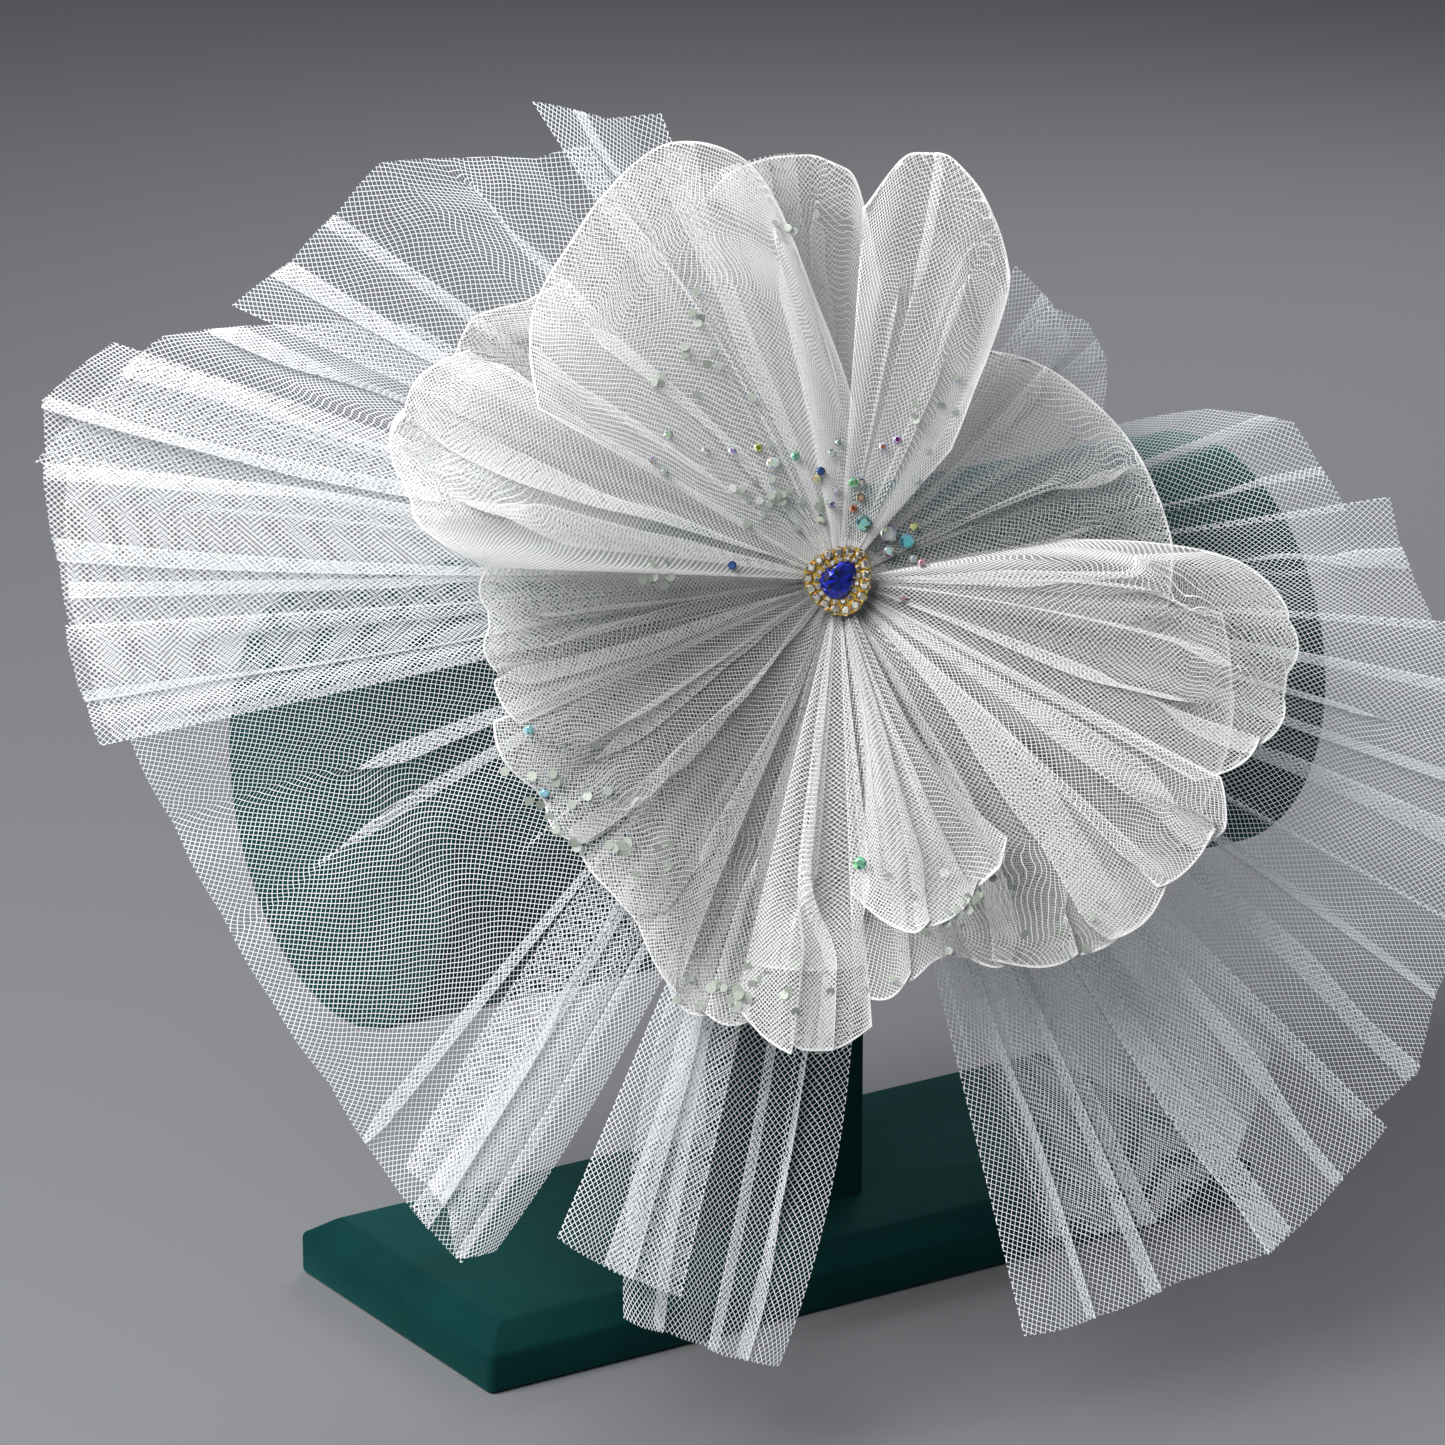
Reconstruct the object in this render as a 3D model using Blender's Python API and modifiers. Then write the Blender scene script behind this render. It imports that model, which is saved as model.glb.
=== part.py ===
"""A bride's short tulle hair veil with a jewelled brooch, shown on a velvet display roll.

Stiff coarse net leaves and soft folded tulle puffs fan out from one gathered knot. The knot is
sewn to a felt pad that sits on the upper front of the roll. Sizes are in millimetres and are
brought to metres when a mesh is made. The origin is the middle of the stand's underside.
"""
import math

import bmesh
import bpy
import numpy as np
from mathutils import Matrix, Vector

MM = 0.001
GAP = 0.3

# The display stand
BASE_LENGTH, BASE_DEPTH = 267.0, 108.0
BASE_EDGE_HEIGHT, BASE_HEIGHT, BASE_CHAMFER = 11.5, 17.5, 8.5
ROLL_RADIUS, ROLL_LENGTH, ROLL_AXIS_HEIGHT, ROLL_EDGE = 62.5, 298.0, 160.5, 1.6
POST_WIDTH, POST_DEPTH = 30.0, 42.0

# Where the flower is pinned on the roll, and the way that it faces
SEAT_X, SEAT_ANGLE = -5.0, 56.0
FACING_AZIMUTH, FACING_ELEVATION = -33.7, 16.9

# The pad, the knot and the brooch, with heights above the seat along the flower's axis
PAD_RADIUS, PAD_HEIGHT = 15.5, 2.0
KNOT_RADIUS, KNOT_TOP = 8.0, 41.5
SETTING_LENGTH, SETTING_WIDTH, SETTING_THICKNESS = 19.4, 18.2, 1.4
STONE_LENGTH, STONE_WIDTH, STONE_HEIGHT = 11.6, 9.0, 3.2
RING_BEAD = 2.8
PEAR_TURN = 50.0

# The cloth: one wall thickness, the radius where the leaves leave the knot, and how they climb
WALL = 1.0
ROOT = KNOT_RADIUS + GAP + 0.1
CLIMB = 120.0
SEAM = 0.7
NET_ROWS = 5

# Each layer's height at the knot, how fast it spreads from the layers behind it, how far its middle
# bows out to the front, and how deep its folds are at 100 mm from the knot
BOW_REACH = 125.0
LAYERS = {
    # layer: (height, spread, bow, fold depth)
    "net_back": (16.0, 0.0, 0.0, 3.4),
    "net_front": (19.2, 0.085, 0.0, 3.6),
    "puff_back": (24.2, 0.23, 4.0, 3.2),
    "puff_front": (30.4, 0.41, 12.0, 4.4),
    "puff_loop": (36.4, 0.62, 19.0, 4.4),
}

# Coarse net leaves. Bearings are in degrees, counter-clockwise from the flower's right, and the
# reaches are the lengths from the knot to the cut edge, at even steps from the first side to the last.
NET_LEAVES = (
    # name, layer, first bearing, last bearing, narrowing, folds, reaches
    ("net_right_top", "net_back", 9, 30, 0, 4, (148, 143, 139, 117, 83)),
    ("net_right_tip", "net_front", -3.5, 8, 0, 3, (172, 165, 161, 160)),
    ("net_right", "net_front", -28, -4.5, 0, 5, (199, 201, 202, 198)),
    ("net_right_low", "net_back", -45, -29.5, 0, 4, (213, 216, 207, 205)),
    ("net_bottom_right", "net_front", -75, -45.5, 0, 6, (213, 215, 216, 222, 219, 217)),
    ("net_bottom_right_back", "net_back", -71, -48, 0, 4, (192, 200, 197, 181)),
    ("net_bottom", "net_back", -114, -86, 0.6, 4, (208, 210, 213, 215)),
    ("net_bottom_left", "net_front", -130, -113, 0.5, 4, (194, 194, 197, 207, 201)),
    ("net_bottom_left_back", "net_front", -112, -103, 0, 3, (191, 195, 197)),
    ("net_low_left", "net_back", 193, 240.5, 0, 6, (194, 189, 187, 188, 191, 200, 210)),
    ("net_left_strip", "net_front", 184.5, 192, 0, 3, (204, 202, 199)),
    ("net_left", "net_front", 163, 183, 0, 5, (203, 216, 211, 206, 203)),
    ("net_left_back", "net_back", 172, 191.8, 0, 3, (208, 205, 197)),
    ("net_upper_left", "net_back", 150, 171, 0, 4, (135, 161, 194, 204, 217)),
    ("net_top_left", "net_front", 121, 155, 0, 6, (138, 142, 154, 168, 168, 170, 178)),
    ("net_top_spike", "net_back", 112, 122, 0, 3, (139, 147, 144)),
    ("net_top", "net_front", 97, 112, 0, 3, (120, 119, 118)),
    ("net_top_right", "net_front", 34, 52, 0, 4, (90, 99, 102, 98)),
    ("net_top_right_back", "net_back", 46, 60, 0, 3, (95, 100, 103)),
)

# Fine tulle puffs, each folded double, with the fold at the reaches.
PUFFS = (
    # name, layer, first bearing, last bearing, pleats, reaches
    ("puff_top_left", "puff_front", 86, 149, 7, (46, 60, 78, 114, 123, 127, 124, 120, 115, 112, 108, 100, 91)),
    ("puff_top", "puff_back", 84, 109, 4, (84, 113, 118, 118, 116, 110)),
    ("puff_top_right", "puff_front", 51, 85, 5, (47, 64, 95, 106, 115, 121, 119, 101)),
    ("puff_right_back", "puff_back", -3, 57, 6, (93, 95, 93, 91, 87, 83, 76)),
    ("puff_right", "puff_front", -27.5, 9, 6, (114, 124, 130, 129, 127, 110, 64)),
    ("puff_low_right", "puff_front", -42, -28.5, 3, (123, 124, 126, 120)),
    ("puff_low_right_back", "puff_back", -58, -6, 6, (118, 122, 118, 110)),
    ("puff_bottom_right", "puff_front", -86, -43, 8, (112, 112, 105, 110, 115, 121, 124, 125, 123)),
    ("puff_bottom", "puff_front", -102, -87, 3, (117, 122, 126, 124, 121)),
    ("puff_bottom_back", "puff_back", -101, -60, 5, (108, 104, 100, 106)),
    ("puff_low_left", "puff_back", -156, -103, 7, (101, 100, 100, 100, 103, 111, 123, 123)),
    ("puff_left_low", "puff_back", 178, 203, 4, (94, 96, 96, 95, 95)),
    ("puff_left", "puff_front", 150, 176.5, 5, (117, 122, 124, 121, 112, 94)),
    ("puff_upper_left", "puff_back", 134, 155, 4, (110, 113, 121, 119, 113)),
    ("puff_front_loop", "puff_loop", -86, -58, 4, (84, 96, 92, 84)),
)

# A puff's section: how far out each row is, and how far apart its two layers are there
PUFF_SECTION = (
    # share of the reach, distance between the layers
    (0.00, 3.0),
    (0.22, 4.0),
    (0.50, 6.6),
    (0.76, 8.0),
    (0.94, 5.0),
    (1.00, 0.0),
)

COLOURS = {
    # finish: (red, green, blue), roughness, metallic
    "velvet": ((0.006, 0.062, 0.058), 0.95, 0.0),
    "net": ((0.80, 0.82, 0.84), 0.55, 0.0),
    "tulle": ((0.88, 0.87, 0.84), 0.6, 0.0),
    "felt": ((0.75, 0.75, 0.73), 0.9, 0.0),
    "gold": ((0.78, 0.58, 0.26), 0.25, 1.0),
    "crystal": ((0.90, 0.88, 0.80), 0.05, 0.0),
    "sapphire": ((0.01, 0.03, 0.55), 0.05, 0.0),
}


def clear_scene():
    for obj in list(bpy.data.objects):
        bpy.data.objects.remove(obj, do_unlink=True)


def collection(name, hidden=False):
    made = bpy.data.collections.new(name)
    bpy.context.scene.collection.children.link(made)
    made.hide_render = hidden
    return made


def material(finish):
    found = bpy.data.materials.get(finish)
    if found:
        return found
    colour, roughness, metallic = COLOURS[finish]
    made = bpy.data.materials.new(finish)
    made.use_nodes = True
    shader = made.node_tree.nodes["Principled BSDF"]
    shader.inputs["Base Color"].default_value = (*colour, 1.0)
    shader.inputs["Roughness"].default_value = roughness
    shader.inputs["Metallic"].default_value = metallic
    made.diffuse_color = (*colour, 1.0)
    return made


def add_object(name, mesh, where, finish=None, smooth_angle=None):
    if smooth_angle:
        mesh.shade_smooth()
        mesh.set_sharp_from_angle(angle=math.radians(smooth_angle))
    obj = bpy.data.objects.new(name, mesh)
    where.objects.link(obj)
    if finish:
        mesh.materials.append(material(finish))
    return obj


def mesh_from_bmesh(name, bm):
    bmesh.ops.recalc_face_normals(bm, faces=bm.faces)
    mesh = bpy.data.meshes.new(name)
    bm.to_mesh(mesh)
    bm.free()
    return mesh


def cutter(name, mesh, cutters):
    obj = add_object(name, mesh, cutters)
    obj.hide_render = True
    obj.display_type = "WIRE"
    return obj


def cut(obj, tool):
    boolean = obj.modifiers.new("cut", "BOOLEAN")
    boolean.operation = "DIFFERENCE"
    boolean.object = tool


# The flower's own frame: its seat on the roll, and its right, up and facing directions.

def flower_frame():
    azimuth, elevation = math.radians(FACING_AZIMUTH), math.radians(FACING_ELEVATION)
    facing = np.array([
        math.sin(azimuth) * math.cos(elevation),
        -math.cos(azimuth) * math.cos(elevation),
        math.sin(elevation),
    ])
    right = np.array([math.cos(azimuth), math.sin(azimuth), 0.0])
    return right, np.cross(facing, right), facing


RIGHT, UP, FACING = flower_frame()
SEAT_NORMAL = np.array([0.0, -math.cos(math.radians(SEAT_ANGLE)), math.sin(math.radians(SEAT_ANGLE))])
SEAT = np.array([SEAT_X, 0.0, ROLL_AXIS_HEIGHT]) + ROLL_RADIUS * SEAT_NORMAL


def flower_point(radius, bearing, height):
    """World points, in mm, of polar places about the flower's axis."""
    across = np.multiply.outer(radius * np.cos(bearing), RIGHT)
    up = np.multiply.outer(radius * np.sin(bearing), UP)
    return SEAT + across + up + np.multiply.outer(height, FACING)


def lean(bearing):
    """How steeply a leaf climbs towards the front: most to the left, where it passes round the roll."""
    return 0.12 - 0.86 * np.cos(bearing) - 0.34 * np.sin(bearing)


def layer_height(layer, radius, bearing):
    """The height of a layer above the seat: it climbs out of the knot and then levels off."""
    height, spread, bow, _ = LAYERS[layer]
    out = radius - ROOT
    climb = CLIMB * (1 - np.exp(-out / CLIMB))
    arch = bow * np.sin(np.pi * np.minimum(out / BOW_REACH, 1))
    return height + lean(bearing) * climb + spread * out + arch


def fold_height(layer, radius, wave):
    """How far the folds lift a point: they deepen steadily away from the knot."""
    return wave * LAYERS[layer][3] * radius / 100


def bearings_across(first, last, columns, radius, narrowing, out):
    """Bearings of each column: a constant seam between neighbours, and a narrowing towards the cut edge."""
    middle = math.radians((first + last) / 2)
    span = math.radians(last - first) * (1 - narrowing * out ** 2) - SEAM / radius
    return middle + (np.linspace(0, 1, columns) - 0.5) * span


def zigzag(columns, pleats):
    """Crests and troughs across a leaf, of uneven depth, that die out at its two sides."""
    place = np.linspace(0, 1, columns)
    wave = np.sin(2 * math.pi * pleats * (place - 0.25 / pleats * (place > 0)))
    uneven = 0.75 + 0.25 * np.sin(5.0 * math.pi * place + pleats)
    sides = np.clip(np.minimum(place, 1 - place) * (columns - 1), 0, 1)
    return wave * uneven * sides


def sheet_wall(name, points, where, finish):
    """A closed wall of even thickness on both sides of a grid of points."""
    along = np.gradient(points, axis=0)
    across = np.gradient(points, axis=1)
    normal = np.cross(along, across)
    normal /= np.linalg.norm(normal, axis=2, keepdims=True)
    rows, columns = points.shape[:2]
    sides = np.concatenate([points + normal * WALL / 2, points - normal * WALL / 2]).reshape(-1, 3)
    front = np.arange(rows * columns).reshape(rows, columns)
    back = front + rows * columns
    faces = []
    for i in range(rows - 1):
        for j in range(columns - 1):
            faces.append((front[i, j], front[i + 1, j], front[i + 1, j + 1], front[i, j + 1]))
            faces.append((back[i, j], back[i, j + 1], back[i + 1, j + 1], back[i + 1, j]))
    rim = [(0, j) for j in range(columns)] + [(i, columns - 1) for i in range(1, rows)]
    rim += [(rows - 1, j) for j in range(columns - 2, -1, -1)] + [(i, 0) for i in range(rows - 2, 0, -1)]
    for a, b in zip(rim, rim[1:] + rim[:1]):
        faces.append((front[a], front[b], back[b], back[a]))
    mesh = bpy.data.meshes.new(name)
    mesh.from_pydata((sides * MM).tolist(), [], [[int(k) for k in face] for face in faces])
    bm = bmesh.new()
    bm.from_mesh(mesh)
    bmesh.ops.recalc_face_normals(bm, faces=bm.faces)
    bm.to_mesh(mesh)
    bm.free()
    return add_object(name, mesh, where, finish, smooth_angle=60)


def reach_across(reaches, columns):
    return np.interp(np.linspace(0, 1, columns), np.linspace(0, 1, len(reaches)), reaches)


def net_leaf(name, layer, first, last, narrowing, folds, reaches, where):
    """A single leaf of stiff net: straight out of the knot to its cut edge, in shallow folds."""
    columns = max(2 * folds + 1, len(reaches))
    reach = reach_across(reaches, columns)
    wave = zigzag(columns, folds)
    rows = []
    for out in np.linspace(0, 1, NET_ROWS + 1):
        radius = ROOT + (reach - ROOT) * out
        bearing = bearings_across(first, last, columns, radius, narrowing, out)
        height = layer_height(layer, radius, bearing) + fold_height(layer, radius, wave)
        rows.append(flower_point(radius, bearing, height))
    return sheet_wall(name, np.array(rows), where, "net")


def puff(name, layer, first, last, pleats, reaches, where):
    """A leaf of fine tulle folded double: out along the front, round the fold, and back behind."""
    columns = max(2 * pleats + 1, len(reaches))
    reach = reach_across(reaches, columns)
    wave = zigzag(columns, pleats)
    rows = []
    outward = [(share, apart / 2) for share, apart in PUFF_SECTION]
    homeward = [(share, -half) for share, half in outward[-2::-1]]
    for out, offset in outward + homeward:
        radius = ROOT + (reach - ROOT) * out
        bearing = bearings_across(first, last, columns, radius, 0, out)
        height = layer_height(layer, radius, bearing) + offset + fold_height(layer, radius, wave)
        rows.append(flower_point(radius, bearing, height))
    return sheet_wall(name, np.array(rows), where, "tulle")


# The display stand

def roll_cutter(name, radius, cutters):
    bm = bmesh.new()
    turn = Matrix.Rotation(math.radians(90), 4, "Y")
    place = Matrix.Translation(Vector((0, 0, ROLL_AXIS_HEIGHT)) * MM)
    bmesh.ops.create_cone(
        bm, cap_ends=True, segments=96, radius1=radius * MM, radius2=radius * MM,
        depth=ROLL_LENGTH * MM, matrix=place @ turn,
    )
    return cutter(name, mesh_from_bmesh(name, bm), cutters)


def stand(where, cutters):
    bm = bmesh.new()
    size = Matrix.Diagonal((BASE_LENGTH, BASE_DEPTH, BASE_EDGE_HEIGHT, 1.0))
    lift = Matrix.Translation((0, 0, BASE_EDGE_HEIGHT * MM / 2))
    bmesh.ops.create_cube(bm, size=MM, matrix=lift @ size)
    top = [face for face in bm.faces if face.normal.z > 0.5]
    bmesh.ops.inset_region(
        bm, faces=top, thickness=BASE_CHAMFER * MM, depth=(BASE_HEIGHT - BASE_EDGE_HEIGHT) * MM,
    )
    add_object("stand_base", mesh_from_bmesh("stand_base", bm), where, "velvet")

    bm = bmesh.new()
    low, high = BASE_HEIGHT + GAP, ROLL_AXIS_HEIGHT
    size = Matrix.Diagonal((POST_WIDTH, POST_DEPTH, high - low, 1.0))
    lift = Matrix.Translation((0, 0, (low + high) * MM / 2))
    bmesh.ops.create_cube(bm, size=MM, matrix=lift @ size)
    post = add_object("stand_post", mesh_from_bmesh("stand_post", bm), where, "velvet")
    cut(post, roll_cutter("post_cutter", ROLL_RADIUS + GAP, cutters))

    bm = bmesh.new()
    turn = Matrix.Rotation(math.radians(90), 4, "Y")
    place = Matrix.Translation(Vector((0, 0, ROLL_AXIS_HEIGHT)) * MM)
    bmesh.ops.create_cone(
        bm, cap_ends=True, segments=48, radius1=ROLL_RADIUS * MM, radius2=ROLL_RADIUS * MM,
        depth=ROLL_LENGTH * MM, matrix=place @ turn,
    )
    roll = add_object("stand_roll", mesh_from_bmesh("stand_roll", bm), where, "velvet", smooth_angle=40)
    edge = roll.modifiers.new("edge", "BEVEL")
    edge.width = ROLL_EDGE * MM
    edge.segments = 1
    edge.limit_method = "ANGLE"
    edge.angle_limit = math.radians(40)


# The pad and the knot

def pad(where, cutters):
    """A felt disc lying on the roll, flat on top and hollowed below to the roll's curve."""
    tilt = Vector((0, 0, 1)).rotation_difference(Vector(SEAT_NORMAL)).to_matrix().to_4x4()
    depth = 2 * PAD_HEIGHT + 4
    middle = Vector(SEAT + SEAT_NORMAL * (PAD_HEIGHT - depth / 2)) * MM
    bm = bmesh.new()
    bmesh.ops.create_cone(
        bm, cap_ends=True, segments=32, radius1=PAD_RADIUS * MM, radius2=PAD_RADIUS * MM,
        depth=depth * MM, matrix=Matrix.Translation(middle) @ tilt,
    )
    disc = add_object("backing_pad", mesh_from_bmesh("backing_pad", bm), where, "felt", smooth_angle=40)
    cut(disc, roll_cutter("pad_cutter", ROLL_RADIUS + GAP, cutters))


def knot(where):
    """The bound roots: a stalk along the flower's axis, cut off flush with the top of the pad."""
    turn = Matrix(np.column_stack([RIGHT, UP, FACING]).tolist()).to_4x4()
    bm = bmesh.new()
    bmesh.ops.create_cone(
        bm, cap_ends=True, segments=24, radius1=KNOT_RADIUS * MM, radius2=KNOT_RADIUS * MM,
        depth=2 * KNOT_TOP * MM, matrix=Matrix.Translation(Vector(SEAT) * MM) @ turn,
    )
    facing, normal = Vector(FACING), Vector(SEAT_NORMAL)
    for vert in bm.verts:
        rise = (vert.co - Vector(SEAT) * MM).dot(facing)
        if rise < 0:
            above = (vert.co - Vector(SEAT) * MM).dot(normal)
            vert.co += facing * (((PAD_HEIGHT + GAP) * MM - above) / facing.dot(normal))
    add_object("gathered_knot", mesh_from_bmesh("gathered_knot", bm), where, "tulle", smooth_angle=40)


# The brooch

def pear(length, width, count, height):
    """A pear outline round the flower's axis: round at one end, drawn out to a point at the other."""
    turn = math.radians(PEAR_TURN)
    angle = np.linspace(0, 2 * math.pi, count, endpoint=False)
    along = np.cos(angle) * (1 + 0.10 * np.cos(angle)) * length / 2
    across = np.sin(angle) * (1 - 0.22 * np.cos(angle)) * width / 2
    x = along * math.cos(turn) - across * math.sin(turn)
    y = along * math.sin(turn) + across * math.cos(turn)
    return SEAT + np.multiply.outer(x, RIGHT) + np.multiply.outer(y, UP) + height * FACING


def stacked(name, rings, where, finish, smooth_angle=None):
    """A closed solid skinned over a stack of rings with the same number of points."""
    bm = bmesh.new()
    loops = [[bm.verts.new(Vector(p) * MM) for p in ring] for ring in rings]
    count = len(rings[0])
    for low, high in zip(loops, loops[1:]):
        for k in range(count):
            bm.faces.new((low[k], low[(k + 1) % count], high[(k + 1) % count], high[k]))
    bm.faces.new(loops[0][::-1])
    bm.faces.new(loops[-1])
    return add_object(name, mesh_from_bmesh(name, bm), where, finish, smooth_angle)


def brooch(where):
    seat = KNOT_TOP + GAP
    top = seat + SETTING_THICKNESS
    plate = [(0.94, seat), (1.0, seat + 0.3), (1.0, top - 0.3), (0.96, top)]
    stacked(
        "brooch_setting",
        [pear(SETTING_LENGTH * k, SETTING_WIDTH * k, 34, h) for k, h in plate], where, "gold", 40,
    )
    stone = [(0.86, top + GAP), (1.0, top + 1.2), (0.62, top + STONE_HEIGHT)]
    stacked(
        "brooch_stone",
        [pear(STONE_LENGTH * k, STONE_WIDTH * k, 16, h) for k, h in stone], where, "sapphire",
    )
    # a band of crystals round the stone, a bead's width across, as a closed ring of four-sided section
    middle_length = SETTING_LENGTH - RING_BEAD
    middle_width = SETTING_WIDTH - RING_BEAD
    half = RING_BEAD / 2 - 0.1
    section = [(half, 0.0), (0.5 * half, 1.6), (-0.5 * half, 1.6), (-half, 0.0)]
    rings = [
        pear(middle_length + 2 * offset, middle_width + 2 * offset, 34, top + GAP + rise)
        for offset, rise in section
    ]
    bm = bmesh.new()
    loops = [[bm.verts.new(Vector(p) * MM) for p in ring] for ring in rings]
    for low, high in zip(loops, loops[1:] + loops[:1]):
        for k in range(len(low)):
            after = (k + 1) % len(low)
            bm.faces.new((low[k], low[after], high[after], high[k]))
    add_object("brooch_ring", mesh_from_bmesh("brooch_ring", bm), where, "crystal", 40)


def main():
    clear_scene()
    veil = collection("bridal_veil_on_roll_stand")
    cutters = collection("cutters", hidden=True)
    stand(veil, cutters)
    pad(veil, cutters)
    knot(veil)
    brooch(veil)
    for name, layer, first, last, narrowing, folds, reaches in NET_LEAVES:
        net_leaf(name, layer, first, last, narrowing, folds, reaches, veil)
    for name, layer, first, last, pleats, reaches in PUFFS:
        puff(name, layer, first, last, pleats, reaches, veil)


main()
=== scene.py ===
"""Looks for the tulle hair veil and its velvet roll stand: the cloth, the brooch, the scattered
crystals and sequins, the stand's velvet, and a plain studio. Sizes are in millimetres, and
piece() brings them to metres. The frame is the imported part's own.
"""

import math

import bpy
import numpy as np
from mathutils import Matrix, Vector


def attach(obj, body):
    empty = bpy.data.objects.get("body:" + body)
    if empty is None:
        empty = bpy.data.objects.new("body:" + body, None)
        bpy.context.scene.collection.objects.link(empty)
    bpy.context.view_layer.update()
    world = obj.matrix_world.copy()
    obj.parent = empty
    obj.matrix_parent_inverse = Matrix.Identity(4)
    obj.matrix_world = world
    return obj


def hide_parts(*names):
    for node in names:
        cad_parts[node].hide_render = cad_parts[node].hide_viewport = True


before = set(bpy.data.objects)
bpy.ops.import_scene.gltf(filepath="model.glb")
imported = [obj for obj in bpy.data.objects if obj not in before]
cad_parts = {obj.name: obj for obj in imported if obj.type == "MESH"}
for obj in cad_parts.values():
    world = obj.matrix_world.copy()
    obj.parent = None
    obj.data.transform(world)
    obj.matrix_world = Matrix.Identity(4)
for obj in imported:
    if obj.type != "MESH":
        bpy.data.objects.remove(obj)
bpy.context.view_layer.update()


# THE STAND. A board, a short post and a round padded roll, all wrapped in short-nap teal velvet.
# The cloth is glued down tight, so the edges are softly rounded and there are no loose folds.

def piece(name, points, faces, material, stands_for, smooth=60, uv=None, values=None, normals=None):
    """One finished piece from points in mm and faces of any size, riding on the part.

    smooth is the angle in degrees below which neighbouring faces are shaded as one surface.
    """
    mesh = bpy.data.meshes.new(name)
    points = points.reshape(-1, 3) * 0.001
    mesh.from_pydata(points.tolist(), [], faces)
    if uv is not None:
        corners = np.empty(len(mesh.loops), np.int32)
        mesh.loops.foreach_get("vertex_index", corners)
        layer = mesh.uv_layers.new(name="cloth")
        layer.data.foreach_set("uv", uv.reshape(-1, 2)[corners].ravel())
    for label, each in (values or {}).items():
        attribute = mesh.attributes.new(label, "FLOAT", "POINT")
        attribute.data.foreach_set("value", np.asarray(each, np.float32).ravel())
    if smooth:
        mesh.shade_smooth()
        if smooth < 180:
            mesh.set_sharp_from_angle(angle=math.radians(smooth))
    if normals is not None:
        mesh.normals_split_custom_set_from_vertices(normals.reshape(-1, 3))
    mesh.materials.append(material)
    obj = bpy.data.objects.new(name, mesh)
    bpy.context.scene.collection.objects.link(obj)
    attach(obj, "root")
    if stands_for:
        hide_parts(*stands_for)
    return obj


def grid_faces(rows, columns, closed=False):
    """Quads of a grid of rows by columns of points; closed joins the last column to the first."""
    index = np.arange(rows * columns).reshape(rows, columns)
    if closed:
        index = np.concatenate([index, index[:, :1]], axis=1)
    quads = [index[:-1, :-1], index[:-1, 1:], index[1:, 1:], index[1:, :-1]]
    return np.stack(quads, axis=-1).reshape(-1, 4).tolist()


def plain_material(name, colour, roughness, more=None):
    """A new material and its shader, with the constant values set on the sockets."""
    made = bpy.data.materials.new(name)
    made.use_nodes = True
    shader = made.node_tree.nodes["Principled BSDF"]
    values = {"Base Color": (*colour, 1.0), "Roughness": roughness, **(more or {})}
    for label, value in values.items():
        shader.inputs[label].default_value = value
    return made, shader


def node(tree, kind, **settings):
    """A new node with its properties set."""
    made = tree.nodes.new(kind)
    for key, value in settings.items():
        setattr(made, key, value)
    return made


def mixed_colours(tree, factor, low, high):
    """A ramp from one colour to another."""
    ramp = node(tree, "ShaderNodeValToRGB")
    ramp.color_ramp.elements[0].color = (*low, 1.0)
    ramp.color_ramp.elements[1].color = (*high, 1.0)
    tree.links.new(factor, ramp.inputs["Fac"])
    return ramp.outputs["Color"]


def velvet_material():
    """Short nap: a soft sheen over a deep colour, brushed in cloudy patches, with a fine tooth."""
    sheen = {"Sheen Weight": 0.35, "Sheen Roughness": 0.35, "Sheen Tint": (0.10, 0.62, 0.58, 1.0)}
    more = {**sheen, "Specular IOR Level": 0.1}
    made, shader = plain_material("velvet", (0.002, 0.030, 0.030), 0.95, more)
    tree = made.node_tree
    place = node(tree, "ShaderNodeTexCoord")

    def noise(scale, detail):
        made = node(tree, "ShaderNodeTexNoise")
        made.inputs["Scale"].default_value = scale
        made.inputs["Detail"].default_value = detail
        tree.links.new(place.outputs["Object"], made.inputs["Vector"])
        return made.outputs["Fac"]

    colour = mixed_colours(tree, noise(38.0, 3.0), (0.0012, 0.020, 0.021), (0.003, 0.045, 0.043))
    tree.links.new(colour, shader.inputs["Base Color"])
    bump = node(tree, "ShaderNodeBump")
    bump.inputs["Strength"].default_value = 0.35
    bump.inputs["Distance"].default_value = 0.0006
    tree.links.new(noise(1500.0, 2.0), bump.inputs["Height"])
    tree.links.new(bump.outputs["Normal"], shader.inputs["Normal"])
    return made


def ring_stack(rings):
    """Points and faces of rings of the same count, skinned in order and capped at both ends."""
    points = np.array(rings)
    rows, columns = points.shape[:2]
    faces = grid_faces(rows, columns, closed=True)
    faces.append(list(range(columns))[::-1])
    faces.append(list(range((rows - 1) * columns, rows * columns)))
    return points.reshape(-1, 3), faces


def board_stack(section, length, depth, corner):
    """A board's rings: at each (inset, height) of its section, its outline moved in by the inset."""
    rings = []
    for inset, height in section:
        ring = rounded_rectangle(length, depth, corner, inset)
        rings.append(np.column_stack([ring, np.full(len(ring), height)]))
    return ring_stack(rings)


def rounded_rectangle(length, depth, corner, inset):
    """A board's outline, with its corners rounded, moved in by an inset, counter-clockwise."""
    turn = np.linspace(0, math.pi / 2, 7)
    bend = max(corner - inset, LEAST_CORNER)
    half = np.array([length / 2 - inset - bend, depth / 2 - inset - bend])
    corners = []
    for quarter, side in enumerate(((1, 1), (-1, 1), (-1, -1), (1, -1))):
        angle = turn + quarter * math.pi / 2
        round_corner = bend * np.column_stack([np.cos(angle), np.sin(angle)])
        corners.append(half * side + round_corner)
    return np.concatenate(corners)


velvet = velvet_material()

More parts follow.
